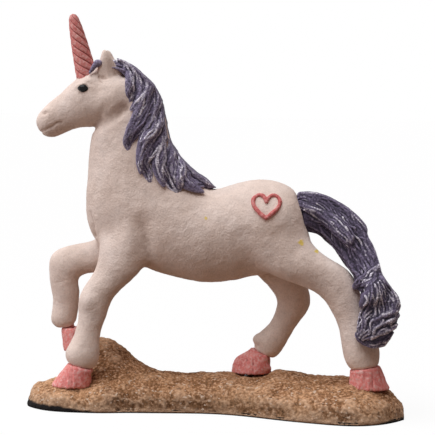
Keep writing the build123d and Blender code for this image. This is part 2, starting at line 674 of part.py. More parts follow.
with BuildPart() as tail_curl:
    loft(tail_rings(TAIL_CURL_SHARES, TAIL_LOCK_GIRTH, TAIL_LOCK_WIDTH))
    add(tail_form.part, mode=Mode.SUBTRACT)
    add(body_form.part, mode=Mode.SUBTRACT)
with BuildPart() as tail_band:
    loft(tail_rings(TAIL_BAND_SHARES, TAIL_LOCK_GIRTH, TAIL_LOCK_WIDTH))
    add(tail_form.part, mode=Mode.SUBTRACT)

# Body casting with a socket for every piece that is let into it
with BuildPart() as body:
    add(body_form.part)
    for piece in (near_fore_leg, far_fore_leg, near_hind_leg, far_hind_leg, horn, near_ear, far_ear,
                  near_eye, far_eye, tail_upper):
        add(piece.part, mode=Mode.SUBTRACT)

# Heart outline: a raised bead that follows the curve of the near flank
heart_x = chest_x + along_share(HEART_SEAT_SHARE)[0]
heart_z = belly_z + along_share(HEART_SEAT_SHARE)[1]
with BuildPart() as heart_outline:
    for turn in (-1, 1):
        with BuildLine() as lobe:
            Spline(*[
                lifted_place(heart_x + turn * u * HEART_WIDTH, heart_z + v * HEART_HEIGHT, NEAR, HEART_LIFT)
                for u, v in HEART_SHARES
            ])
        with BuildSketch(Plane(origin=lobe.line @ 0, z_dir=lobe.line % 0)):
            Circle(HEART_BEAD / 2)
        sweep(path=lobe.line)
    with Locations(lobe.line @ 0, lobe.line @ 1):
        Sphere(HEART_BEAD / 2)
    add(body_form.part, mode=Mode.SUBTRACT)

# Mane: a ridge along the crest of the neck, then locks laid over its edge and down both sides
with BuildPart() as crest_form:
    loft([
        ring(
            *spanning_plane(
                (chest_x + out_l * BODY_LENGTH, belly_z + out_r * BODY_RISE),
                (chest_x + in_l * BODY_LENGTH, belly_z + in_r * BODY_RISE),
            ),
            w * CREST_WIDTH,
        )
        for out_l, out_r, in_l, in_r, w in CREST_SHARES
    ])
with BuildPart() as mane_crest:
    add(crest_form.part)
    for piece in (near_ear, far_ear, body_form):
        add(piece.part, mode=Mode.SUBTRACT)

mane_locks = {}
for side, name, tables in ((NEAR, "near", NEAR_LOCK_SHARES), (FAR, "far", FAR_LOCK_SHARES)):
    seated = [crest_form]
    for number, rows in enumerate(tables, start=1):
        with BuildPart() as lock_form:
            loft(lock_rings(rows, side, LOCK_WIDTH, LOCK_THICKNESS))
        with BuildPart() as lock:
            add(lock_form.part)
            for piece in seated:
                add(piece.part, mode=Mode.SUBTRACT)
            add(body_form.part, mode=Mode.SUBTRACT)
        seated = [crest_form, lock_form]
        mane_locks[f"{name}_mane_lock_{number}"] = lock

with BuildPart() as forelock:
    loft(lock_rings(FORELOCK_SHARES, NEAR, FORELOCK_WIDTH, FORELOCK_THICKNESS))
    for piece in (body_form, near_ear, horn):
        add(piece.part, mode=Mode.SUBTRACT)

# Sandy plinth with a pocket under each standing hoof and a hole for each pin, on a thin felt pad
with BuildPart() as base:
    loft([bank_profile(row) for row in BASE_SHARES])
    split(bisect_by=Plane.XY.offset(PAD_THICKNESS), keep=Keep.TOP)
    for piece in (
        near_fore_leg, near_fore_hoof, near_hind_hoof, far_hind_hoof,
        near_fore_hole, near_hind_hole, far_hind_hole,
    ):
        add(piece.part, mode=Mode.SUBTRACT)
with BuildPart() as base_pad:
    add(base.faces().sort_by(Axis.Z)[0])
    extrude(amount=PAD_THICKNESS, dir=(0, 0, -1))

pieces = {
    "base": base,
    "base_pad": base_pad,
    "body": body,
    "near_fore_leg": near_fore_leg,
    "far_fore_leg": far_fore_leg,
    "near_hind_leg": near_hind_leg,
    "far_hind_leg": far_hind_leg,
    "near_fore_hoof": near_fore_hoof,
    "far_fore_hoof": far_fore_hoof,
    "near_hind_hoof": near_hind_hoof,
    "far_hind_hoof": far_hind_hoof,
    "near_fore_pin": near_fore_pin,
    "near_hind_pin": near_hind_pin,
    "far_hind_pin": far_hind_pin,
    "horn": horn,
    "near_ear": near_ear,
    "far_ear": far_ear,
    "near_eye": near_eye,
    "far_eye": far_eye,
    "heart_outline": heart_outline,
    "forelock": forelock,
    "mane_crest": mane_crest,
    **mane_locks,
    "tail_upper": tail_upper,
    "tail_lower": tail_lower,
    "tail_curl": tail_curl,
    "tail_band": tail_band,
}
for name, piece in pieces.items():
    piece.part.label = name
    export_step(piece.part, f"parts/{name}.step")
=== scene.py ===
"""Unicorn figurine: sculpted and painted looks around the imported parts."""
import itertools
import math

import bpy
import numpy as np
import openvdb as vdb
from mathutils import Matrix, Vector


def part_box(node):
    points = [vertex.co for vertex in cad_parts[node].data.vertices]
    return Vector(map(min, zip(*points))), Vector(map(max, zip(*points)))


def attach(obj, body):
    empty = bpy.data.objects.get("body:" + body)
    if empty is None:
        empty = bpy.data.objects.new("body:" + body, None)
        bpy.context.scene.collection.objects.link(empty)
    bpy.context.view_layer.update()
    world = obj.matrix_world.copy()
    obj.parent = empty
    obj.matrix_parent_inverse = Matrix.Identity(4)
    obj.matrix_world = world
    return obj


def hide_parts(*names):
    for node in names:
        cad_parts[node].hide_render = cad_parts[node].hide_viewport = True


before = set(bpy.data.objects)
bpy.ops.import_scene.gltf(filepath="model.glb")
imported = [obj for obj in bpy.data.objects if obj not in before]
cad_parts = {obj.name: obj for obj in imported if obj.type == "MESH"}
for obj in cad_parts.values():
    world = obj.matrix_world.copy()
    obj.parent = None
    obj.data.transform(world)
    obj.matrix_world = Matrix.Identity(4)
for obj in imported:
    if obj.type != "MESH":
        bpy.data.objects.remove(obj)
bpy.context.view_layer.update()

# The sculpting below is in millimetres, the scene in metres
MM = 0.001
NEAR, FAR = -1, 1

# Grid cells of the sculpted pieces, and how many cells of distance are kept round a surface
SKIN_GRAIN = 0.45
HAIR_GRAIN = 0.25
SAND_GRAIN = 0.50
HOOF_GRAIN = 0.28
HEART_GRAIN = 0.18
BAND_CELLS = 9
MARGIN_CELLS = 6
SKY_STEPS = 24

# Smoothing: passes behind the relief values and the sand's facing, and the least share of a main shell
SKIN_RELIEF_PASSES, HAIR_RELIEF_PASSES, HOOF_RELIEF_PASSES = 10, 8, 8
SAND_RELIEF_PASSES, SAND_EDGE_PASSES, SAND_FACING_PASSES = 6, 60, 20
MAIN_SHELL_SHARE = 0.2
BLUR_REACH = 2.5
RELAX_STEPS = (0.5, -0.52)

# Joins and fits of the pieces
LEG_BLEND = 3.8
JOINT_REACH = 19.0
EAR_BLEND = 1.0
POLL_REACH = 12.0
EYE_SHIFT = 0.55
SKIRT_GAP = 0.15
HEART_DRAWN_IN = 0.89

LEGS = ["near_fore_leg", "far_fore_leg", "near_hind_leg", "far_hind_leg"]
EARS = ["near_ear", "far_ear"]
EYES = ["near_eye", "far_eye"]
PINS = ["near_fore_pin", "near_hind_pin", "far_hind_pin"]
HOOVES = ["near_fore_hoof", "far_fore_hoof", "near_hind_hoof", "far_hind_hoof"]
LOCKS = [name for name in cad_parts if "mane" in name]
TAIL = ["tail_upper", "tail_lower", "tail_curl", "tail_band"]

# Head lines, as shares of the face (eye to muzzle), from the eye: forward is negative
MOUTH_SHARES = [(-0.960, -0.960), (-0.744, -0.851), (-0.589, -0.776), (-0.509, -0.707), (-0.405, -0.690)]
NOSTRIL_SHARE = (-0.780, -0.530)
JAW_SHARES = [(0.284, -0.799), (0.440, -0.740), (0.566, -0.655), (0.740, -0.530), (0.871, -0.385)]
BROW_SHARE = (0.080, 0.170)
CHEEK_SHARE = (0.500, -0.330)
POLL_SHARE = (0.740, -0.040)
EAR_CRACK_SHARES = [(0.330, 0.259), (0.360, 0.170), (0.445, 0.098)]

# Soft forms of the head: share of the face, shift in mm, share of the eye's place across, radii, depth
HEAD_FORM_SHARES = [
    (NOSTRIL_SHARE, (0.0, 0.0), 0.60, (1.9, 2.2, 0.9), 0.32),
    (NOSTRIL_SHARE, (-0.2, 1.5), 0.60, (2.6, 2.4, 1.4), -0.35),
    (BROW_SHARE, (0.0, 0.0), 1.00, (3.6, 3.0, 1.9), -0.55),
    (CHEEK_SHARE, (0.0, 0.0), 1.10, (7.0, 5.0, 6.0), -0.95),
    (POLL_SHARE, (0.0, 0.0), 1.10, (8.0, 7.0, 8.0), -1.10),
]
MOUTH_WIDTH, MOUTH_DEPTH = 1.2, 0.42
JAW_WIDTH, JAW_DEPTH = 6.0, 0.55
EAR_CRACK_WIDTH, EAR_CRACK_DEPTH = 0.7, 0.25
LID_HALF_LENGTH, LID_HALF_HEIGHT, LID_DEPTH = 2.25, 1.45, -0.34
LID_RING_SHARE, LID_WIDTH_SHARE = 1.20, 0.45
LID_LIFT, LOWER_LID_SHARE = 0.35, 0.15

# Marks on the limbs, as shares of the box of the leg that they are on
SHOULDER_SHARE = (0.740, 0.850)
CHEST_CREASE_SHARES = [(0.260, 1.040), (0.297, 0.967), (0.320, 0.880)]
ELBOW_FOLD_SHARES = [(0.914, 0.978), (0.925, 0.860), (0.904, 0.711)]
FLANK_FOLD_SHARES = [(-0.082, 0.917), (-0.075, 0.800), (-0.060, 0.680)]
KNEE_LINE_SHARES = [(0.050, 0.420), (0.130, 0.432), (0.215, 0.458)]

# Lines on the legs: leg, shares of its box, width, depth, side
LEG_LINE_SHARES = [
    ("far_fore_leg", KNEE_LINE_SHARES, 0.8, 0.16, 0),
    ("near_fore_leg", CHEST_CREASE_SHARES, 1.8, 0.35, NEAR),
    ("near_fore_leg", ELBOW_FOLD_SHARES, 11.0, 0.55, 0),
    ("near_hind_leg", FLANK_FOLD_SHARES, 11.0, 0.60, 0),
]

# Soft forms of the legs, a chip, a knee and a fetlock: leg, share of its box, share across, radii, depth
LEG_FORM_SHARES = [
    ("near_fore_leg", (0.205, 0.472), 0.0, (1.3, 2.0, 1.7), 0.40),
    ("near_fore_leg", (0.240, 0.460), 0.0, (5.0, 6.0, 5.0), -0.60),
    ("far_hind_leg", (0.050, 0.180), 0.5, (3.5, 5.0, 2.6), -0.70),
]

# Dabs of yellow paint: share of the near hind leg's box (along, up) and size
DAB_SHARES = [(0.36, 0.885, 2.2), (0.49, 0.83, 1.6), (-0.385, 1.05, 1.3)]

# Roughness of the surfaces: layers of height, size and seed
DAB_LAYERS = [(0.35, 0.8, 7)]
RIDGE_LAYERS = [(0.16, 1.0, 11)]
HOOF_LAYERS = [(0.10, 1.1, 12)]
SKIN_LAYERS = [(0.14, 6.0, 3), (0.08, 2.2, 4), (0.05, 1.1, 5)]
HAIR_LAYERS = [(0.05, 0.7, 0), (0.05, 1.6, 5)]
HEART_LAYERS = [(0.16, 1.6, 21), (0.06, 0.6, 22)]
SAND_LAYERS = [(0.42, 6.0, 31), (0.252, 3.0, 32), (0.26, 1.15, 33), (0.208, 0.8, 34)]

# Skin: widths of its three blurs, cover over the pins, levels of crisp cuffs, soft limbs and head
SKIN_BLURS = (3.0, 1.5, 0.5)
PIN_COVER = 0.3
SEAT_SINK = 0.4
CUFF_LEVEL, CUFF_FADE = 20.0, 12.0
HEAD_LEVEL, HEAD_FADE = 96.0, 8.0
HEAD_CRISP_SHARE = 0.6

# Locks of the mane: points as shares of the mane's box (along, down, half width), strands, heft, pale share
# The points were picked in the photograph, and a scratch script turned them into these shares
MANE_LOCK_SHARES = [
    ([(0.031, -0.002, 0.024), (0.117, 0.036, 0.043), (0.184, 0.106, 0.062), (0.215, 0.191, 0.067),
      (0.188, 0.270, 0.053), (0.151, 0.327, 0.019)], 6, 0.35, 0.34),
    ([(0.193, 0.042, 0.029), (0.279, 0.119, 0.048), (0.319, 0.204, 0.057), (0.283, 0.290, 0.048),
      (0.218, 0.348, 0.029), (0.171, 0.377, 0.010)], 5, 0.40, 0.34),
    ([(0.318, 0.147, 0.029), (0.386, 0.245, 0.057), (0.379, 0.345, 0.077), (0.305, 0.439, 0.077),
      (0.222, 0.526, 0.057), (0.166, 0.605, 0.038), (0.167, 0.663, 0.014)], 7, 0.35, 0.34),
    ([(0.415, 0.274, 0.029), (0.456, 0.387, 0.048), (0.429, 0.487, 0.057), (0.355, 0.567, 0.048),
      (0.290, 0.611, 0.019)], 5, 0.45, 0.34),
    ([(0.455, 0.344, 0.029), (0.495, 0.458, 0.048), (0.460, 0.572, 0.067), (0.386, 0.659, 0.067),
      (0.331, 0.746, 0.048), (0.361, 0.824, 0.038), (0.381, 0.888, 0.014)], 6, 0.35, 0.34),
    ([(0.515, 0.514, 0.029), (0.546, 0.628, 0.057), (0.539, 0.728, 0.077), (0.541, 0.814, 0.067),
      (0.581, 0.892, 0.048), (0.639, 0.956, 0.014)], 6, 0.35, 0.34),
    ([(0.575, 0.628, 0.029), (0.633, 0.712, 0.048), (0.664, 0.798, 0.048), (0.656, 0.877, 0.038),
      (0.658, 0.948, 0.014)], 5, 0.45, 0.34),
    ([(0.614, 0.670, 0.029), (0.701, 0.761, 0.057), (0.778, 0.839, 0.067), (0.874, 0.880, 0.048),
      (0.941, 0.900, 0.029), (1.000, 0.914, 0.010)], 6, 0.35, 0.34),
]

# Crest of the mane, from the poll to the withers, as shares of its box (along, down), made like the locks
CREST_SHARES = [
    (-0.018, -0.004), (0.089, 0.020), (0.195, 0.066), (0.283, 0.122), (0.361, 0.179), (0.410, 0.236),
    (0.460, 0.322), (0.481, 0.408), (0.502, 0.502), (0.533, 0.588), (0.612, 0.681), (0.690, 0.745),
    (0.788, 0.813), (0.885, 0.858), (0.973, 0.915),
]

# Locks of the tail: points as shares of the tail's box (along, down, half width), strands, heft, pale share
# They were made like the locks of the mane
TAIL_LOCK_SHARES = [
    ([(0.092, 0.093, 0.066), (0.197, 0.098, 0.116), (0.327, 0.122, 0.145), (0.449, 0.185, 0.153),
      (0.556, 0.283, 0.137), (0.632, 0.380, 0.120), (0.691, 0.465, 0.103),
      (0.733, 0.537, 0.095)], 11, 0.0, 0.10),
    ([(0.163, 0.026, 0.033), (0.308, 0.043, 0.058), (0.454, 0.086, 0.066), (0.577, 0.156, 0.066),
      (0.659, 0.228, 0.050), (0.709, 0.273, 0.017)], 6, 0.25, 0.16),
    ([(0.586, 0.196, 0.033), (0.685, 0.300, 0.050), (0.752, 0.391, 0.050), (0.795, 0.470, 0.041),
      (0.821, 0.535, 0.025)], 5, 0.15, 0.18),
    ([(0.141, 0.086, 0.033), (0.262, 0.123, 0.050), (0.393, 0.180, 0.066), (0.499, 0.244, 0.066),
      (0.565, 0.302, 0.050), (0.582, 0.328, 0.017)], 6, 0.45, 0.34),
    ([(0.152, 0.191, 0.041), (0.281, 0.215, 0.058), (0.412, 0.279, 0.066), (0.519, 0.369, 0.058),
      (0.594, 0.454, 0.058), (0.644, 0.526, 0.041)], 6, 0.20, 0.08),
    ([(0.750, 0.564, 0.074), (0.785, 0.643, 0.091), (0.787, 0.722, 0.099), (0.757, 0.803, 0.099),
      (0.720, 0.884, 0.083), (0.681, 0.945, 0.041)], 8, 0.10, 0.70),
    ([(0.822, 0.549, 0.041), (0.896, 0.627, 0.058), (0.931, 0.699, 0.058), (0.917, 0.766, 0.041),
      (0.886, 0.800, 0.025)], 5, 0.30, 0.80),
    ([(0.759, 0.836, 0.017), (0.814, 0.795, 0.025), (0.885, 0.767, 0.025), (0.948, 0.745, 0.021),
      (0.987, 0.711, 0.008)], 3, 0.90, 0.85),
    ([(0.768, 0.883, 0.017), (0.831, 0.835, 0.025), (0.902, 0.813, 0.025),
      (0.974, 0.778, 0.012)], 3, 0.80, 0.80),
    ([(0.754, 0.936, 0.017), (0.825, 0.888, 0.029), (0.896, 0.866, 0.025),
      (0.968, 0.845, 0.012)], 3, 0.70, 0.80),
    ([(0.648, 0.919, 0.021), (0.714, 0.964, 0.029), (0.803, 0.975, 0.029), (0.883, 0.947, 0.025),
      (0.937, 0.899, 0.012)], 3, 0.60, 0.70),
    ([(0.623, 0.613, 0.025), (0.678, 0.572, 0.046), (0.749, 0.524, 0.050), (0.811, 0.476, 0.033),
      (0.835, 0.456, 0.017)], 4, 0.60, 0.55),
]

# Outer edge of the tail, from its root to its tip, as shares of the tail's box (along, down)
# A scratch script found all but the seventh point on the photograph's outline
TAIL_EDGE_SHARES = [
    (0.161, -0.004), (0.290, 0.001), (0.421, 0.038), (0.552, 0.096), (0.667, 0.173), (0.717, 0.225),
    (0.722, 0.280), (0.778, 0.357), (0.822, 0.463), (0.840, 0.516), (0.882, 0.569), (0.932, 0.621),
    (0.982, 0.674), (0.994, 0.781), (0.949, 0.889), (0.879, 0.985),
]

# Forelock: ends of its tufts and their root, as shares of its box (along, up)
FORELOCK_SHARES = [(0.23, 0.18), (0.31, 0.41), (0.39, 0.61), (0.47, 0.77)]
FORELOCK_ROOT_SHARE = (0.76, 0.95)

# Ear: tubes of clay that fan from its tip, as shares of the ear's box (along, up) and radii, and how it is let in
EAR_FAN_SHARES = [
    [(0.515, 0.905, 0.45), (0.45, 0.66, 0.95), (0.38, 0.39, 1.45), (0.42, 0.10, 1.70)],
    [(0.515, 0.905, 0.45), (0.61, 0.646, 1.15), (0.70, 0.30, 1.90), (0.80, 0.02, 2.20)],
    [(0.515, 0.905, 0.45), (0.80, 0.625, 0.80), (1.18, 0.30, 1.30), (1.40, 0.02, 1.60)],
]
EAR_STEPS = 14
EAR_LET_IN = 2.6
EAR_TURN, EAR_TURN_SHARE = 2.0, 0.75

# Hair, in millimetres or in half widths of a lock: its strands, their clumps and the CAD core below
STRAND_STEPS = 30
LEAST_WIDTH_SHARE = 0.004
STRAND_RADIUS = 0.35
STRAND_CLOSE = 5.0
STRAND_LEAN = 0.40
LOCK_FILL = 0.92
STRAND_SINK = 0.35
STRAND_BLEND = 0.12
CORE_SINK = 0.35
EDGE_SLACK = 0.80
CLUMP_BLEND = 0.60
CLUMP_FILL = 0.80
TRIM_SLACK = 0.10
HAIR_ROOM = 1.5
CORE_BLUR = 0.6
ROOT_DEPTH = 0.8
LEAST_LOCK_SHARE = 0.004
STRAND_DRIFT = 0.40
STRAND_WAVE = 0.17
STRAND_UNEVEN = 0.18
STRAND_LIFT = 0.30
STRAND_HEFTS = (0.70, 1.50)
SHORT_STRAND_SHARE = 0.35
TIP_STEPS = 3
WAVE_COUNTS, UNEVEN_COUNTS, BREAK_COUNTS = (0.8, 2.6), (2, 5), (1.0, 3.0)
PALE_TONES, SLATE_TONES, UNBROKEN_SHARE = (0.55, 1.0), (0.0, 0.30), 0.35
TIP_TAPER_SHARE, ROOT_START_SHARE, ROOT_GROWTH = 0.55, 0.6, 3
LIFT_SHARES = (-0.5, 1)
MANE_SHADE, TAIL_SHADE = 0.05, 0.75
MANE_SEED, TAIL_SEED = 41, 51

# Strands of the crest, from the poll to the withers, and of the forelock
CREST_STRANDS = 27
CREST_RADII = (0.36, 0.62)
CREST_INSET = 0.9
CREST_FALL = 2.4
CREST_HALF = 3.9
CREST_NARROWING_SHARE, CREST_PALE_SHARE = 0.35, 0.3
CREST_WAVE, CREST_WAVES = 0.35, 2.2
CREST_SWAY, CREST_SWAYS = 0.5, 2.6
CREST_END_SHARE, CREST_END_GROWTH = 0.4, 6
FORELOCK_RADII = (0.85, 1.10)
FORELOCK_STEPS = 10
FORELOCK_TAPER_SHARE = 0.5
FORELOCK_ARCH, FORELOCK_STAND, FORELOCK_DEPTH_SHARE = 0.5, 1.0, 0.25

# Horn: seat and tip in its box (along, up), rings of points, spiral lines, and its radius from seat to tip
HORN_SEAT_SHARE = (0.735, 0.10)
HORN_TIP_SHARE = (0.135, 1.0)
HORN_RINGS, HORN_AROUND = 260, 120
HORN_LINES, HORN_TURNS = 6, 1.30
HORN_LINE_SHARE, HORN_LINE_DEPTH, HORN_SWELL = 0.14, 0.30, 0.10
# Paint of the horn: the second number sets the dry-brush between its lines, the third the painted shade in them
HORN_TIP_FADE, HORN_PALE, HORN_LINE_SHADE = 3, 0.02, 0.15
HORN_HEIGHT_SHARES = [0, 0.15, 0.5, 0.8, 0.93, 0.98, 1.0]
HORN_RADIUS_SHARES = [1.02, 0.99, 0.82, 0.62, 0.47, 0.30, 0.02]

# Hooves: hollow of the heel, upright ridges, and the shape of the far hind hoof
HEEL_RADIUS_SHARES, HEEL_DEPTH = (0.17, 0.30, 0.45), 1.3
HOOF_BLUR = 0.45
RIDGES_AROUND, RIDGE_RISE_SHARE = 7, 0.25
TOE_SHARE, TOE_RADIUS_SHARE, TOE_SWELL = (0.12, 0.50, 0.50), 0.55, -1.9
NOTCH_SHARE, NOTCH_HALF_LENGTH, NOTCH_HALF_HEIGHT = (0.93, 0.25, 0.50), 1.5, 2.2
NOTCH_DEPTH, LIP_HEIGHT, LIP_SHARE, LIP_WIDTH_SHARE = 1.5, 0.55, 1.25, 0.45

# Pink of the horn and of the hooves, against the colours in pink_paint
HORN_LIFT, HOOF_LIFT = 1.03, 1.22

# Heart and eyes
HEART_GROWN, HEART_BLUR = 0.06, 0.25
EYE_ROWS, EYE_COLUMNS = 33, 48
EYE_LENGTH_SHARE, EYE_HEIGHT_SHARE, EYE_POINT_SHARE = 1.12, 0.92, 0.42

# Plinth: cover over pins and pad, heaps round the hooves, the hollow before the far hind hoof, its black rim
SAND_PIN_COVER, SAND_PAD_COVER, SAND_BLUR = 0.2, 0.45, 0.9
HEAP_SINK, HEAP_BLEND = 0.7, 1.8
HOLLOW_AHEAD, HOLLOW_UP, HOLLOW_RADII, HOLLOW_DEPTH = 4.0, 2.0, (13.0, 16.0, 9.0), 2.0
SMOOTH_FOOT = 1.5
LEFT_RIM_LENGTH, LEFT_RIM_HEIGHT = 26.0, 2.9
RIGHT_RIM_LENGTH, RIGHT_RIM_HEIGHT = 16.0, 1.5
RIM_FADE = 0.5
RIM_LAYERS = [(RIM_FADE, 2.0, 35)]
# Painted light on the sand: how far it must face up to be lightened, and over what it fades in
TOP_LIGHT_TILT, TOP_LIGHT_FADE = 0.35, 0.5

# Camera at the photograph's viewing angle, in degrees and millimetres
AZIMUTH, ELEVATION, ROLL = 4.0, 4.0, 1.1
TARGET = (-0.6, 0.0, 68.9)
DISTANCE, VIEW_WIDTH, SENSOR = 560.0, 156.6, 36.0

# Stage, in metres and degrees. Light levels: a colour facing up renders about as it is written
WORLD_LIGHT = 0.20
WORLD_TINT = (1.0, 0.68, 0.55)
KEY_STRENGTH = 2.74
KEY_SPREAD = 55.0
KEY_COLOUR = (0.955, 1.0, 1.045)
KEY_PLACE = (-0.24, -0.30, 1.0)
COOL_POWER = 1.40
COOL_SIZE = 0.35
COOL_COLOUR = (0.92, 0.94, 1.0)
COOL_PLACE = (-0.60, -0.14, 0.12)
COOL_AIM = (-0.03, 0, 0.08)
FLOOR_HALF = 40.0
CLIP_RANGE = (0.01, 20.0)
FLOOR_TONE = (0.17, 0.115, 0.085)
FLOOR_WHITE = (0.98, 0.98, 0.98)
FLOOR_GLOW_SHARE = 0.90


# Frame and curves

def box_mm(*names):
    """Lowest and highest corner, in millimetres, of one or more nodes together."""
    corners = [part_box(name) for name in names]
    low = np.min([np.array(pair[0]) for pair in corners], axis=0) / MM
    high = np.max([np.array(pair[1]) for pair in corners], axis=0) / MM
    return low, high


def middle_mm(name):
    """Middle of a node's box in millimetres."""
    low, high = box_mm(name)
    return (low + high) / 2


def on_leg(name, shares):
    """Points in the side view, from shares of a leg's box."""
    low, high = box_mm(name)
    return [(low[0] + sx * (high[0] - low[0]), low[2] + sz * (high[2] - low[2])) for sx, sz in shares]


def on_face(shares):
    """Points in the side view of the head, from shares of the face measured from the eye."""
    eye = middle_mm("near_eye")
    face = eye[0] - box_mm("body")[0][0]
    return [(eye[0] + along * face, eye[2] + up * face) for along, up in shares]


def smooth_path(rows, count):
    """Count points along a smooth curve through the rows, column by column."""
    rows = np.asarray(rows, float)
    ends = np.vstack([2 * rows[0] - rows[1], rows, 2 * rows[-1] - rows[-2]])
    places = np.linspace(0, len(rows) - 1, count)
    spans = np.minimum(places.astype(int), len(rows) - 2)
    t = (places - spans)[:, None]
    a, b, c, d = (ends[spans + k] for k in range(4))
    return 0.5 * (2 * b + (c - a) * t + (2 * a - 5 * b + 4 * c - d) * t**2 + (3 * b - a - 3 * c + d) * t**3)


def bell(t):
    """One at zero, falling smoothly to nothing at one and beyond."""
    return np.clip(1 - t * t, 0, None) ** 2


def soft_min(a, b, blend):
    """The lesser of two distances, with the corner between them rounded."""
    h = np.clip(0.5 + (b - a) / (2 * blend), 0, 1)
    return b + (a - b) * h - blend * h * (1 - h)


def spread(values, known, steps):
    """Values on a plane, carried outwards from where they are known, a cell at each step."""
    for _ in range(steps):
        total, count = np.zeros(values.shape), np.zeros(values.shape)
        for axis, step in itertools.product((0, 1), (-1, 1)):
            total += np.roll(np.where(known, values, 0), step, axis)
            count += np.roll(known, step, axis)
        values = np.where(~known & (count > 0), total / np.maximum(count, 1), values)
        known = known | (count > 0)
    return values


def noise(points, size, seed):
    """Smooth random values from -1 to 1 that change over about that size."""
    cells = 32
    table = np.random.default_rng(seed).uniform(-1, 1, (cells, cells, cells))
    place = np.asarray(points) / size
    base = np.floor(place).astype(int)
    part = place - base
    part = part * part * (3 - 2 * part)
    total = np.zeros(len(place))
    for corner in itertools.product((0, 1), repeat=3):
        weight = np.prod(np.where(corner, part, 1 - part), axis=1)
        total += weight * table[tuple(((base + corner) % cells).T)]
    return total


def rough(points, layers, seed=0):
    """Layers of noise together, each with its height, size and seed."""
    return sum(height * noise(points, size, seed + own) for height, size, own in layers)


def ripple(rng, s, fewest, most):
    """A sine along a strand, with a random number of waves and a random start."""
    return np.sin(2 * math.pi * (s * rng.uniform(fewest, most) + rng.uniform(0, 1)))


# Sculpting

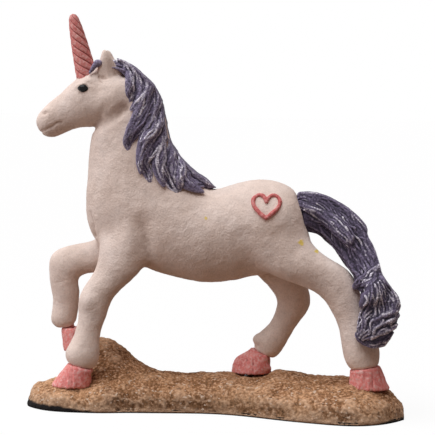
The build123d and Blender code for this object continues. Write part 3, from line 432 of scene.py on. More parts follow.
class Clay:
    """Clay to sculpt: signed distances in millimetres on a grid over a box."""

    def __init__(self, low, high, grain):
        self.grain = grain
        self.first = np.floor(np.asarray(low) / grain).astype(int) - MARGIN_CELLS
        last = np.ceil(np.asarray(high) / grain).astype(int) + MARGIN_CELLS
        self.shape = tuple(int(n) for n in last - self.first + 1)
        self.far = BAND_CELLS * grain
        self.field = np.full(self.shape, self.far, np.float32)
        self.tone = np.zeros(self.shape, np.float32)
        axes = [(f + np.arange(n)) * grain for f, n in zip(self.first, self.shape)]
        self.x, self.y, self.z = np.meshgrid(*axes, indexing="ij", sparse=True)

    def of_node(self, name):
        """Distances from a CAD node's surface."""
        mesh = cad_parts[name].data
        mesh.calc_loop_triangles()
        points = np.empty(len(mesh.vertices) * 3, np.float32)
        mesh.vertices.foreach_get("co", points)
        triangles = np.empty(len(mesh.loop_triangles) * 3, np.int32)
        mesh.loop_triangles.foreach_get("vertices", triangles)
        grid = vdb.FloatGrid.createLevelSetFromPolygons(
            points.reshape(-1, 3) / np.float32(MM), triangles=triangles.reshape(-1, 3).astype(np.uint32),
            transform=vdb.createLinearTransform(self.grain), halfWidth=BAND_CELLS,
        )
        distances = np.empty(self.shape, np.float32)
        grid.copyToArray(distances, ijk=tuple(int(f) for f in self.first))
        return distances

    def join(self, *names, grow=0.0):
        """Adds CAD nodes, grown or shrunk by a little."""
        for name in names:
            self.field = np.minimum(self.field, self.of_node(name) - grow)

    def blurred(self, width):
        """The distances averaged over about that width, which rounds edges and fills creases."""
        sigma = width / self.grain
        radius = int(math.ceil(BLUR_REACH * sigma))
        weights = np.exp(-0.5 * (np.arange(-radius, radius + 1) / sigma) ** 2)
        weights /= weights.sum()
        field = self.field
        for axis in range(3):
            count = field.shape[axis]
            pads = [(radius, radius) if k == axis else (0, 0) for k in range(3)]
            padded = np.pad(field, pads, mode="edge")
            total = np.zeros_like(field)
            for start, weight in enumerate(weights):
                part = [slice(None)] * 3
                part[axis] = slice(start, start + count)
                total += np.float32(weight) * padded[tuple(part)]
            field = total
        return field

    def line_distance(self, points):
        """Distance of every column from a line in the side view, and how far it stands to its left."""
        nearest, beyond = np.inf, 0
        for (ax, az), (bx, bz) in zip(points[:-1], points[1:]):
            run, rise = bx - ax, bz - az
            t = np.clip(((self.x - ax) * run + (self.z - az) * rise) / (run * run + rise * rise), 0, 1)
            gap = np.hypot(self.x - ax - t * run, self.z - az - t * rise)
            side = np.sign(run * (self.z - az) - rise * (self.x - ax))
            beyond = np.where(gap < nearest, side * gap, beyond)
            nearest = np.minimum(gap, nearest)
        return nearest, beyond

    def trim(self, points, slack):
        """Cuts back, to within a line in the side view, what stands to the left of its run."""
        _, beyond = self.line_distance(points)
        self.field = np.maximum(self.field, np.clip(beyond + slack, -self.far, self.far).astype(np.float32))

    def groove(self, points, width, depth, side=0):
        """Presses a groove along a line in the side view; a negative depth raises a ridge."""
        cut = depth * bell(self.line_distance(points)[0] / (width / 2))
        if side:
            cut = cut * (self.y * side > 0)
        self.field = self.field + cut.astype(np.float32)

    def dent(self, centre, radii, depth):
        """Presses a soft hollow; a negative depth raises a soft bump."""
        gap = np.sqrt(
            ((self.x - centre[0]) / radii[0]) ** 2
            + ((self.y - centre[1]) / radii[1]) ** 2
            + ((self.z - centre[2]) / radii[2]) ** 2
        )
        self.field = self.field + (depth * bell(gap)).astype(np.float32)

    def skyline(self, side, ground=None):
        """How far across the clay, or the ground it lies on, reaches towards one side at every x and z."""
        flip = slice(None, None, -side)
        field = (self.field if ground is None else np.minimum(self.field, ground))[:, flip, :]
        y = self.y.ravel()[flip]
        inside = field < 0
        hit = inside.argmax(axis=1)
        before = np.maximum(hit - 1, 0)
        rows, columns = np.indices(hit.shape)
        outer, inner = field[rows, before, columns], field[rows, hit, columns]
        share = np.where(outer > inner, outer / np.maximum(outer - inner, 1e-6), 0)
        known = inside.any(axis=1)
        return spread(np.where(known, y[before] + (y[hit] - y[before]) * share, 0), known, SKY_STEPS)

    def across(self, sky, path):
        """Values of a skyline along a path in the side view."""
        u = np.clip(path[:, 0] / self.grain - self.first[0], 0, sky.shape[0] - 2)
        w = np.clip(path[:, 1] / self.grain - self.first[2], 0, sky.shape[1] - 2)
        i, k = u.astype(int), w.astype(int)
        u, w = u - i, w - k
        low = sky[i, k] * (1 - u) + sky[i + 1, k] * u
        high = sky[i, k + 1] * (1 - u) + sky[i + 1, k + 1] * u
        return low * (1 - w) + high * w

    def lay(self, path, radii, blend, tones=None):
        """Lays a strand of clay along a path, with its tones of paint."""
        axes = (self.x.ravel(), self.y.ravel(), self.z.ravel())
        tones = np.zeros(len(path)) if tones is None else tones
        for a, b, ra, rb, tone in zip(path[:-1], path[1:], radii[:-1], radii[1:], tones):
            pad = max(ra, rb) + blend + 2 * self.grain
            low = np.floor((np.minimum(a, b) - pad) / self.grain).astype(int) - self.first
            high = np.ceil((np.maximum(a, b) + pad) / self.grain).astype(int) - self.first + 1
            low, high = np.clip(low, 0, self.shape), np.clip(high, 0, self.shape)
            if np.any(high <= low):
                continue
            part = tuple(slice(s, e) for s, e in zip(low, high))
            dx, dy, dz = (
                axis[piece].reshape([-1 if k == n else 1 for k in range(3)]) - a[n]
                for n, (axis, piece) in enumerate(zip(axes, part))
            )
            run = b - a
            t = np.clip((dx * run[0] + dy * run[1] + dz * run[2]) / max(run @ run, 1e-9), 0, 1)
            gap = np.sqrt((dx - t * run[0]) ** 2 + (dy - t * run[1]) ** 2 + (dz - t * run[2]) ** 2)
            strand = (gap - (ra + (rb - ra) * t)).astype(np.float32)
            self.tone[part] = np.where(strand < self.field[part], tone, self.tone[part])
            self.field[part] = soft_min(self.field[part], strand, blend)

    def tones_at(self, points):
        """Tone of paint at each point."""
        cells = np.clip(np.rint(points / self.grain).astype(int) - self.first, 0, np.array(self.shape) - 1)
        return self.tone[tuple(cells.T)]

    def surface(self):
        """Points and quads of the clay's surface."""
        grid = vdb.FloatGrid(self.far)
        grid.copyFromArray(np.ascontiguousarray(self.field), ijk=tuple(int(f) for f in self.first))
        grid.transform = vdb.createLinearTransform(self.grain)
        points, _, quads = grid.convertToPolygons(isovalue=0.0, adaptivity=0.0)
        return np.asarray(points, float), np.asarray(quads, int)


def main_shells(points, quads, least_share=0.02):
    """The surface without the small shells that lie loose or inside."""
    label = np.arange(len(points))
    pairs = np.vstack([quads[:, [0, 1]], quads[:, [1, 2]], quads[:, [2, 3]]])
    while True:
        low = np.minimum(label[pairs[:, 0]], label[pairs[:, 1]])
        fresh = label.copy()
        np.minimum.at(fresh, pairs[:, 0], low)
        np.minimum.at(fresh, pairs[:, 1], low)
        fresh = fresh[fresh]
        if np.array_equal(fresh, label):
            break
        label = fresh
    names, counts = np.unique(label, return_counts=True)
    kept = np.isin(label, names[counts >= least_share * len(points)])
    index = np.cumsum(kept) - 1
    return points[kept], index[quads[kept[quads[:, 0]]]]


def neighbour_mean(points, quads):
    """Mean of each point's neighbours."""
    starts = quads.ravel()
    total = np.zeros_like(points)
    count = np.zeros(len(points))
    for step in (1, 3):
        ends = np.roll(quads, step, axis=1).ravel()
        count += np.bincount(starts, minlength=len(points))
        for axis in range(3):
            total[:, axis] += np.bincount(starts, points[ends, axis], minlength=len(points))
    return total / np.maximum(count, 1)[:, None]


def relaxed(points, quads, rounds):
    """The surface smoothed a little, without shrinking."""
    for step in RELAX_STEPS * rounds:
        points = points + step * (neighbour_mean(points, quads) - points)
    return points


def point_normals(points, quads):
    """Outward normals of a surface."""
    across = np.cross(points[quads[:, 2]] - points[quads[:, 0]], points[quads[:, 3]] - points[quads[:, 1]])
    normals = np.zeros_like(points)
    for axis in range(3):
        for corner in range(4):
            normals[:, axis] += np.bincount(quads[:, corner], across[:, axis], minlength=len(points))
    return normals / np.maximum(np.linalg.norm(normals, axis=1), 1e-12)[:, None]


def relief(points, quads, normals, rounds):
    """How far each point stands above, or lies below, its surroundings."""
    mean = points
    for _ in range(rounds):
        mean = neighbour_mean(mean, quads)
    return np.einsum("ij,ij->i", points - mean, normals)


def facing_out(points, quads):
    """The quads, turned so that the surface faces outwards."""
    a, b, c = (points[quads[:, k]] for k in (0, 1, 2))
    inside_out = np.einsum("ij,ij->i", a, np.cross(b, c)).sum() < 0
    return quads[:, ::-1] if inside_out else quads


def add_piece(name, points, faces, material, nodes, values=None):
    """Makes a piece of the scene from points in millimetres, in place of CAD nodes."""
    mesh = bpy.data.meshes.new(name)
    mesh.from_pydata((points * MM).tolist(), [], faces)
    for label, numbers in (values or {}).items():
        layer = mesh.attributes.new(label, "FLOAT", "POINT")
        layer.data.foreach_set("value", np.asarray(numbers, np.float32))
    mesh.polygons.foreach_set("use_smooth", np.ones(len(mesh.polygons), bool))
    mesh.materials.append(material)
    piece = bpy.data.objects.new(name, mesh)
    bpy.context.scene.collection.objects.link(piece)
    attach(piece, "root")
    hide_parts(*nodes)
    return piece


# Materials

class Shades:
    """Short ways to add nodes to the node tree of a material or of the world."""

    def __init__(self, tree):
        self.nodes, self.links = tree.nodes, tree.links

    def feed(self, sockets, values):
        """Links or sets sockets, each from a socket, a colour or a number."""
        for socket, value in zip(sockets, values):
            if isinstance(value, tuple):
                socket.default_value = (*value, 1)
            elif isinstance(value, float):
                socket.default_value = value
            else:
                self.links.new(value, socket)

    def noise(self, size, detail=3.0):
        """Noise over a size in millimetres."""
        place = self.nodes.new("ShaderNodeTexCoord")
        texture = self.nodes.new("ShaderNodeTexNoise")
        vector, scale = place.outputs["Object"], 1 / (size * MM)
        self.feed([texture.inputs[label] for label in ("Vector", "Scale", "Detail")], [vector, scale, detail])
        return texture.outputs["Fac"]

    def value(self, label):
        """A value kept on the points of the piece."""
        node = self.nodes.new("ShaderNodeAttribute")
        node.attribute_name = label
        return node.outputs["Fac"]

    def ramp(self, source, stops):
        """Colours, or greys from one number, along a value."""
        node = self.nodes.new("ShaderNodeValToRGB")
        elements = node.color_ramp.elements
        while len(elements) < len(stops):
            elements.new(1.0)
        for element, (place, colour) in zip(elements, stops):
            element.position = place
            element.color = (*colour, 1) if isinstance(colour, tuple) else (colour, colour, colour, 1)
        self.links.new(source, node.inputs["Fac"])
        return node.outputs["Color"]

    def stretch(self, source, low, high):
        """A value stretched from low..high to 0..1."""
        node = self.nodes.new("ShaderNodeMapRange")
        self.feed([node.inputs[label] for label in ("Value", "From Min", "From Max")], [source, low, high])
        return node.outputs["Result"]

    def mix(self, amount, first, second, blend="MIX"):
        """Mixes two colours by a share."""
        node = self.nodes.new("ShaderNodeMix")
        node.data_type = "RGBA"
        node.blend_type = blend
        self.feed([node.inputs[0], node.inputs[6], node.inputs[7]], [amount, first, second])
        return node.outputs[2]

    def maths(self, kind, first, second):
        """One operation on two values."""
        node = self.nodes.new("ShaderNodeMath")
        node.operation = kind
        self.feed(node.inputs, [first, second])
        return node.outputs[0]

    def times(self, first, second):
        """Product of two values."""
        return self.maths("MULTIPLY", first, second)

    def bump(self, shader, height, depth):
        """Bump of a depth in millimetres."""
        node = self.nodes.new("ShaderNodeBump")
        self.feed([node.inputs["Distance"], node.inputs["Height"]], [depth * MM, height])
        self.links.new(node.outputs["Normal"], shader.inputs["Normal"])

    def seen(self):
        """One for rays that see the background: from the camera, a reflection or through glass."""
        path = self.nodes.new("ShaderNodeLightPath")
        seen = self.maths("MAXIMUM", path.outputs["Is Camera Ray"], path.outputs["Is Transmission Ray"])
        return self.maths("MAXIMUM", seen, path.outputs["Is Glossy Ray"])


def start_paint(name, roughness, specular):
    """A new material with its shader set, and ways to add nodes to it."""
    material = bpy.data.materials.new(name)
    material.use_nodes = True
    paint = Shades(material.node_tree)
    shader = paint.nodes["Principled BSDF"]
    shader.inputs["Roughness"].default_value = roughness
    shader.inputs["Specular IOR Level"].default_value = specular
    return material, paint, shader


def cream_paint():
    """Chalky off-white: fine grit, faint warm blotches, and painted shade that darkens the hollows brown."""
    material, paint, shader = start_paint("cream_paint", 0.82, 0.25)
    blotch = paint.ramp(paint.noise(9.0, 4.0), [
        (0.30, (0.800, 0.652, 0.568)), (0.50, (0.838, 0.695, 0.615)), (0.72, (0.858, 0.730, 0.660)),
    ])
    grit = paint.ramp(paint.noise(0.55, 2.0), [(0.30, 0.90), (0.52, 1.0), (0.72, 1.04)])
    colour = paint.mix(1.0, blotch, grit, "MULTIPLY")
    mottle = paint.ramp(paint.noise(3.0, 4.0), [(0.34, 0.94), (0.50, 1.0), (0.66, 1.03)])
    colour = paint.mix(1.0, colour, mottle, "MULTIPLY")
    speck = paint.ramp(paint.noise(1.2, 1.0), [(0.70, 0.0), (0.75, 1.0)])
    colour = paint.mix(paint.times(speck, 0.38), colour, (0.70, 0.60, 0.54))
    # Painted shade: the skin darkened towards brown in its hollows
    hollow_shade = paint.stretch(paint.value("relief"), -0.03, -0.16)
    colour = paint.mix(paint.times(hollow_shade, 0.55), colour, (0.40, 0.27, 0.21))
    mark = paint.value("mark")
    colour = paint.mix(paint.stretch(mark, 0.45, 0.75), colour, (0.83, 0.62, 0.16))
    paint.links.new(colour, shader.inputs["Base Color"])
    paint.bump(shader, paint.noise(0.7, 3.0), 0.21)
    return material


def purple_paint():
    """Slate purple hair with painted shade darkening it between the strands, dry-brushed pale along their tops.
    """
    material, paint, shader = start_paint("purple_paint", 0.70, 0.30)
    height = paint.value("relief")
    # Painted shade: the deeper the hair lies between strands, the darker its purple; lighter along their tops as
    # dry-brush
    tone = paint.ramp(paint.stretch(height, -2.0, 1.6), [
        (0.00, (0.014, 0.010, 0.021)), (0.35, (0.064, 0.049, 0.089)), (0.62, (0.146, 0.119, 0.192)),
        (1.00, (0.262, 0.225, 0.325)),
    ])
    dry = paint.ramp(paint.noise(0.5, 2.0), [(0.30, 0.25), (0.58, 1.0)])
    pale = paint.times(paint.stretch(paint.value("tone"), 0.18, 0.55), dry)
    amount = paint.times(pale, paint.stretch(height, -1.0, 0.6))
    colour = paint.mix(amount, tone, (0.78, 0.74, 0.82))
    grit = paint.ramp(paint.noise(0.55, 2.0), [(0.30, 0.45), (0.50, 0.95), (0.70, 1.55)])
    colour = paint.mix(1.0, colour, grit, "MULTIPLY")
    paint.links.new(colour, shader.inputs["Base Color"])
    paint.bump(shader, paint.noise(0.45, 3.0), 0.28)
    return material


def pink_paint(name, lift):
    """Dusty pink of the horn and hooves: rubbed pale on the high parts, with painted shade darkening the lines
    and hollows.
    """
    material, paint, shader = start_paint(name, 0.68, 0.30)
    blotch = paint.ramp(paint.noise(1.6, 4.0), [
        (place, tuple(lift * part for part in colour)) for place, colour in (
            (0.30, (0.545, 0.145, 0.135)), (0.52, (0.640, 0.210, 0.190)), (0.75, (0.710, 0.310, 0.280)))
    ])
    height = paint.value("relief")
    # Painted shade: the horn's lines and the hooves' hollows darkened
    dark = paint.stretch(height, -0.02, -0.14)
    colour = paint.mix(dark, blotch, (0.200, 0.045, 0.042))
    rub = paint.ramp(paint.noise(0.8, 3.0), [(0.46, 0.0), (0.66, 0.75)])
    rub = paint.times(rub, paint.stretch(height, -0.06, 0.05))
    colour = paint.mix(rub, colour, (0.780, 0.540, 0.500))
    paint.links.new(colour, shader.inputs["Base Color"])
    paint.bump(shader, paint.noise(0.45, 3.0), 0.12)
    return material


def coral_paint():
    """Coral bead of the heart, a little rubbed."""
    material, paint, shader = start_paint("coral_paint", 0.60, 0.35)
    colour = paint.ramp(paint.noise(1.1, 3.0), [
        (0.30, (0.460, 0.090, 0.085)), (0.52, (0.580, 0.150, 0.140)), (0.75, (0.700, 0.330, 0.310)),
    ])
    paint.links.new(colour, shader.inputs["Base Color"])
    paint.bump(shader, paint.noise(0.4, 2.0), 0.08)
    return material


def eye_gloss():
    """Glossy black bead with a trace of brown."""
    material, paint, shader = start_paint("eye_gloss", 0.12, 0.16)
    colour = paint.ramp(paint.noise(1.2, 2.0), [
        (0.35, (0.003, 0.003, 0.003)), (0.75, (0.010, 0.007, 0.006)),
    ])
    paint.links.new(colour, shader.inputs["Base Color"])
    return material


def sand_paint():
    """Sand texture: brown grains, pale ones on the ridges, painted light and shade, a black rim low on the ends.
    """
    material, paint, shader = start_paint("sand_paint", 0.92, 0.15)
    ground = paint.ramp(paint.noise(11.0, 4.0), [
        (0.32, (0.150, 0.070, 0.031)), (0.50, (0.250, 0.130, 0.063)), (0.68, (0.370, 0.212, 0.115)),
    ])
    grain = paint.ramp(paint.noise(0.85, 2.0), [
        (0.28, 0.36), (0.46, 0.86), (0.60, 1.15), (0.72, 1.30),
    ])
    colour = paint.mix(1.0, ground, grain, "MULTIPLY")
    light = paint.ramp(paint.noise(0.85, 2.0), [(0.54, 0.0), (0.70, 0.75)])
    colour = paint.mix(light, colour, (0.530, 0.345, 0.225))
    height = paint.value("relief")
    edge = paint.stretch(height, 0.05, 0.42)
    colour = paint.mix(paint.times(edge, 0.55), colour, (0.60, 0.42, 0.29))
    # Painted shade: the sand darkened in its hollows
    colour = paint.mix(paint.stretch(height, -0.06, -0.40), colour, (0.14, 0.070, 0.036))
    # Pale on the broad ridges: dry-brush, and a painted highlight on the mounds
    ridge = paint.stretch(paint.value("edge"), 0.15, 0.80)
    colour = paint.mix(paint.times(ridge, 0.62), colour, (0.62, 0.42, 0.28))
    # Painted light: sand that faces up made lighter, as if lit from above
    top_light = paint.times(paint.value("top"), 0.50)
    colour = paint.mix(top_light, colour, (1.75, 1.62, 1.52), "MULTIPLY")
    bits = paint.ramp(paint.noise(1.3, 1.0), [(0.66, 0.0), (0.71, 0.85)])
    colour = paint.mix(bits, colour, (0.62, 0.48, 0.37))
    colour = paint.mix(paint.value("rim"), colour, (0.012, 0.010, 0.010))
    paint.links.new(colour, shader.inputs["Base Color"])
    paint.bump(shader, paint.noise(0.6, 3.0), 0.30)
    return material


def pad_felt():
    """Black felt under the plinth."""
    material, paint, shader = start_paint("pad_felt", 0.95, 0.10)
    colour = paint.ramp(paint.noise(0.4, 4.0), [
        (0.30, (0.006, 0.006, 0.006)), (0.75, (0.030, 0.028, 0.027)),
    ])
    paint.links.new(colour, shader.inputs["Base Color"])
    paint.bump(shader, paint.noise(0.3, 4.0), 0.15)
    return material


def pin_steel():
    """Drawn steel wire of the hidden pins."""
    material, paint, shader = start_paint("pin_steel", 0.35, 0.50)
    shader.inputs["Metallic"].default_value = 1.0
    colour = paint.ramp(paint.noise(0.6, 3.0), [
        (0.30, (0.48, 0.48, 0.50)), (0.75, (0.62, 0.62, 0.64)),
    ])
    paint.links.new(colour, shader.inputs["Base Color"])
    return material


# Pieces

def finish_clay(clay, rounds, least_share=0.02):
    """The clay's surface, cleaned, relaxed and facing outwards, with its normals."""
    points, quads = main_shells(*clay.surface(), least_share)
    quads = facing_out(points, quads)
    points = relaxed(points, quads, rounds)
    return points, quads, point_normals(points, quads)


def sculpt_head(clay):
    """Mouth, jaw, nostrils, brow, cheek, poll and lids, the same on both sides, and a crack by the ear."""
    eye = middle_mm("near_eye")
    clay.groove(on_face(MOUTH_SHARES), MOUTH_WIDTH, MOUTH_DEPTH)
    clay.groove(on_face(JAW_SHARES), JAW_WIDTH, JAW_DEPTH)
    for side in (NEAR, FAR):
        y = abs(eye[1]) * side
        for share, (ahead, above), across, radii, depth in HEAD_FORM_SHARES:
            ((x, z),) = on_face([share])
            clay.dent((x + ahead, across * y, z + above), radii, depth)
        along, up = clay.x - eye[0] - EYE_SHIFT, clay.z - eye[2]
        ring = np.hypot(along / LID_HALF_LENGTH, up / LID_HALF_HEIGHT)
        upper = np.clip(LID_LIFT + up, LOWER_LID_SHARE, 1) * (clay.y * side > abs(eye[1]) / 2)
        lid = LID_DEPTH * bell((ring - LID_RING_SHARE) / LID_WIDTH_SHARE) * upper
        clay.field = clay.field + lid.astype(np.float32)
    clay.groove(on_face(EAR_CRACK_SHARES), EAR_CRACK_WIDTH, EAR_CRACK_DEPTH, NEAR)


def shape_ear(clay, name):
    """Builds an ear up from the head: a rounded triangle with a broad foot."""
    low, high = box_mm(name)
    span, side = high - low, np.sign(low[1] + high[1])
    middle = (low[1] + high[1]) / 2
    for rows in EAR_FAN_SHARES:
        along, up, radii = smooth_path(rows, EAR_STEPS).T
        y = middle - side * (EAR_LET_IN * (1 - up) ** 2 + EAR_TURN * np.clip(along - EAR_TURN_SHARE, 0, 1))
        clay.lay(np.stack([low[0] + along * span[0], y, low[2] + up * span[2]], axis=1), radii, EAR_BLEND)


def sculpt_limbs(clay):
    """Creases, folds, knee, fetlock and a chip on the legs."""
    for leg, shares, width, depth, side in LEG_LINE_SHARES:
        clay.groove(on_leg(leg, shares), width, depth, side)
    for leg, share, across, radii, depth in LEG_FORM_SHARES:
        low, high = box_mm(leg)
        ((x, z),) = on_leg(leg, [share])
        clay.dent((x, low[1] + across * (high[1] - low[1]), z), radii, depth)


def paint_marks(points):
    """Stray dabs of yellow paint on the near flank."""
    flank = points[:, 1] < 0
    total = np.zeros(len(points))
    for along, up, size in DAB_SHARES:
        ((x, z),) = on_leg("near_hind_leg", [(along, up)])
        gap = np.hypot(points[:, 0] - x, points[:, 2] - z) / size
        total = np.maximum(total, flank * np.clip(1 - gap + rough(points, DAB_LAYERS), 0, 1))
    return total


def make_skin(material):
    """Body, legs and ears as one smooth painted skin."""
    nodes = ["body", *LEGS, *EARS]
    clay = Clay(*box_mm(*nodes), SKIN_GRAIN)
    body = clay.of_node("body")
    clay.field = body
    for name in LEGS:
        clay.field = np.minimum(clay.field, soft_min(body, clay.of_node(name), LEG_BLEND))
    clay.join(*PINS, grow=PIN_COVER)
    clay.join("horn", *EYES, grow=-SEAT_SINK)
    softest, soft, crisp = (clay.blurred(width) for width in SKIN_BLURS)
    limb = np.clip((clay.z - CUFF_LEVEL) / CUFF_FADE, 0, 1)
    head = np.clip((clay.z - HEAD_LEVEL) / HEAD_FADE, 0, 1)
    clay.field = crisp + (soft - crisp) * (limb * (1 - HEAD_CRISP_SHARE * head)).astype(np.float32)
    shoulder, poll = on_leg("near_fore_leg", [SHOULDER_SHARE]) + on_face([POLL_SHARE])
    for (x, z), reach in ((shoulder, JOINT_REACH), (poll, POLL_REACH)):
        joint = bell(np.hypot(clay.x - x, clay.z - z) / reach)
        clay.field = clay.field + (softest - clay.field) * joint.astype(np.float32)
    for name in EARS:
        shape_ear(clay, name)
    sculpt_head(clay)
    sculpt_limbs(clay)
    points, quads, normals = finish_clay(clay, 2)
    points = points + normals * rough(points, SKIN_LAYERS)[:, None]
    normals = point_normals(points, quads)
    values = {"relief": relief(points, quads, normals, SKIN_RELIEF_PASSES), "mark": paint_marks(points)}
    return add_piece("skin", points, quads.tolist(), material, nodes, values)


def side_line(shares, frame_box, count):
    """Points in the side view along a line given as shares of a box (along, down)."""
    low, high = frame_box
    path = smooth_path(shares, count)[:, :2]
    return np.stack([
        low[0] + path[:, 0] * (high[0] - low[0]), high[2] - path[:, 1] * (high[2] - low[2]),
    ], axis=1)


def lock_line(rows, frame_box):
    """Middle line and half width of a lock in the side view, in millimetres."""
    low, high = frame_box
    width = smooth_path(rows, STRAND_STEPS)[:, 2]
    return side_line(rows, frame_box, STRAND_STEPS), np.maximum(width, LEAST_WIDTH_SHARE) * (high - low)[0]


def steadied(values):
    """Values along a path, averaged over five steps."""
    return np.convolve(np.pad(values, 2, mode="edge"), np.ones(5) / 5, mode="valid")


def lay_clumps(clay, ground, frame_box, locks, side):
    """Builds up the body of each lock that stands proud of its ground."""
    sky = clay.skyline(side, ground)
    for rows, _, heft, _ in locks:
        if heft:
            line, half = lock_line(rows, frame_box)
            y = steadied(clay.across(sky, line)) - side * half * (1 - heft)
            clay.lay(np.stack([line[:, 0], y, line[:, 1]], axis=1), CLUMP_FILL * half, CLUMP_BLEND)


def strand_tones(rng, s, pale_share):
    """Paint along one strand: mostly slate, on some strands broken runs of pale dry-brush."""
    pale = rng.uniform(*(PALE_TONES if rng.uniform() < pale_share else SLATE_TONES))
    broken = 0.5 + 0.5 * ripple(rng, s, *BREAK_COUNTS)
    return pale * (UNBROKEN_SHARE + (1 - UNBROKEN_SHARE) * broken)


def lay_strands(clay, ground, frame_box, locks, side, lean, seed):
    """Lays strands along each lock, which wave, cross a little and end at different places."""
    sky = clay.skyline(side, ground)
    rng = np.random.default_rng(seed)
    for rows, count, _, pale_share in locks:
        line, half = lock_line(rows, frame_box)
        run = np.gradient(line, axis=0)
        run /= np.linalg.norm(run, axis=1)[:, None]
        aside = np.stack([-run[:, 1], run[:, 0]], axis=1)
        for _ in range(round(STRAND_CLOSE * count)):
            u = rng.uniform(-LOCK_FILL - lean, LOCK_FILL)
            first = rng.integers(0, STRAND_STEPS // 2)
            spare = STRAND_STEPS // 3 if rng.uniform() < SHORT_STRAND_SHARE else TIP_STEPS
            last = STRAND_STEPS - rng.integers(0, spare)
            s = np.linspace(0, 1, last - first)
            drift = np.clip(u + rng.normal(0, STRAND_DRIFT), -LOCK_FILL - lean, LOCK_FILL) - u
            wave = STRAND_WAVE * ripple(rng, s, *WAVE_COUNTS)
            place = half[first:last] * np.clip(u + drift * s + wave, -LOCK_FILL - lean, LOCK_FILL)
            thread = line[first:last] + aside[first:last] * place[:, None]
            uneven = 1 + STRAND_UNEVEN * ripple(rng, s, *UNEVEN_COUNTS)
            taper = (1 - TIP_TAPER_SHARE * s**3) * np.minimum(1, ROOT_START_SHARE + ROOT_GROWTH * s)
            radii = STRAND_RADIUS * rng.uniform(*STRAND_HEFTS) * taper * uneven
            sink = STRAND_SINK * radii - STRAND_LIFT * rng.uniform(*LIFT_SHARES) * np.sin(math.pi * s)
            y = steadied(clay.across(sky, thread)) - side * sink
            tones = strand_tones(rng, s, pale_share)
            clay.lay(np.stack([thread[:, 0], y, thread[:, 1]], axis=1), radii, STRAND_BLEND, tones)


def lay_crest(clay, frame_box, seed):
    """Strands that run over the top of the neck from the poll to the withers."""
    line = side_line(CREST_SHARES, frame_box, 2 * STRAND_STEPS)
    run = np.gradient(line, axis=0)
    run /= np.linalg.norm(run, axis=1)[:, None]
    inward = np.stack([run[:, 1], -run[:, 0]], axis=1)
    s = np.linspace(0, 1, len(line))
    rng = np.random.default_rng(seed)
    for number in range(CREST_STRANDS):
        across = -1 + 2 * number / (CREST_STRANDS - 1)
        radius = rng.uniform(*CREST_RADII)
        inset = CREST_INSET + radius + CREST_FALL * across**2
        inset = inset + CREST_WAVE * np.sin(2 * math.pi * (CREST_WAVES * s + rng.uniform(0, 1)))
        thread = line + inward * inset[:, None]
        y = CREST_HALF * across * (1 - CREST_NARROWING_SHARE * s)
        y = y + CREST_SWAY * np.sin(2 * math.pi * (CREST_SWAYS * s + rng.uniform(0, 1)))
        radii = radius * np.minimum(1, CREST_END_SHARE + CREST_END_GROWTH * np.minimum(s, 1 - s))
        tones = strand_tones(rng, s, CREST_PALE_SHARE)
        clay.lay(np.stack([thread[:, 0], y, thread[:, 1]], axis=1), radii, STRAND_BLEND, tones)


def lay_forelock(clay, ground, seed):
    """Short tufts that part in front of the near ear, down to the horn."""
    low, high = box_mm("forelock")
    span, sky = high - low, clay.skyline(NEAR, ground)
    rng = np.random.default_rng(seed)
    s = np.linspace(0, 1, FORELOCK_STEPS)[:, None]
    root = np.array([low[0] + FORELOCK_ROOT_SHARE[0] * span[0], low[2] + FORELOCK_ROOT_SHARE[1] * span[2]])
    for along, up in FORELOCK_SHARES:
        end = np.array([low[0] + along * span[0], low[2] + up * span[2]])
        path = root + (end - root) * s
        path[:, 1] += FORELOCK_ARCH * np.sin(math.pi * s[:, 0])
        y = np.minimum(clay.across(sky, path), low[1] + FORELOCK_DEPTH_SHARE * span[1]) - FORELOCK_STAND
        radii = rng.uniform(*FORELOCK_RADII) * (1 - FORELOCK_TAPER_SHARE * s[:, 0] ** 2)
        tones = strand_tones(rng, s[:, 0], 0.0)
        clay.lay(np.stack([path[:, 0], y, path[:, 1]], axis=1), radii, STRAND_BLEND, tones)


def make_hair(name, nodes, extra, ground, locks, edge, shade, material, seed):
    """Mane or tail: the CAD locks as a core, with clumps and strands laid over both sides."""
    frame_box = box_mm(*nodes)
    low, high = box_mm(*nodes, *extra)
    clay = Clay(low - HAIR_ROOM, high + HAIR_ROOM, HAIR_GRAIN)
    clay.join(*nodes, *extra)
    clay.field = clay.blurred(CORE_BLUR) + np.float32(CORE_SINK)
    clay.trim(side_line(edge, frame_box, STRAND_STEPS), EDGE_SLACK)
    below = clay.of_node(ground) if ground else None
    for side in (NEAR, FAR):
        lay_clumps(clay, below, frame_box, locks, side)
    if ground:
        lay_crest(clay, frame_box, seed)
        lay_forelock(clay, below, seed)
    for side in (NEAR, FAR):
        lay_strands(clay, below, frame_box, locks, side, STRAND_LEAN if ground else 0.0, seed + side)
    clay.trim(side_line(edge, frame_box, STRAND_STEPS), TRIM_SLACK)
    if ground:
        clay.field = np.maximum(clay.field, -ROOT_DEPTH - below)
    points, quads, normals = finish_clay(clay, 1, LEAST_LOCK_SHARE)
    points = points + normals * rough(points, HAIR_LAYERS, seed)[:, None]
    normals = point_normals(points, quads)
    height = relief(points, quads, normals, HAIR_RELIEF_PASSES)
    values = {"relief": height / height.std() - shade, "tone": clay.tones_at(points)}
    return add_piece(name, points, quads.tolist(), material, [*nodes, *extra], values)


def ring_quads(rings, around):
    """Quads between rings of points, and the points' numbers ring by ring."""
    index = np.arange(rings * around).reshape(rings, around)
    after = np.roll(index, -1, axis=1)
    return np.stack([index[:-1], after[:-1], after[1:], index[1:]], axis=-1).reshape(-1, 4), index


def end_fan(ring, tip):
    """Triangles that close a ring of points with a point at its end."""
    return [(int(a), int(b), tip) for a, b in zip(ring, np.roll(ring, -1))]


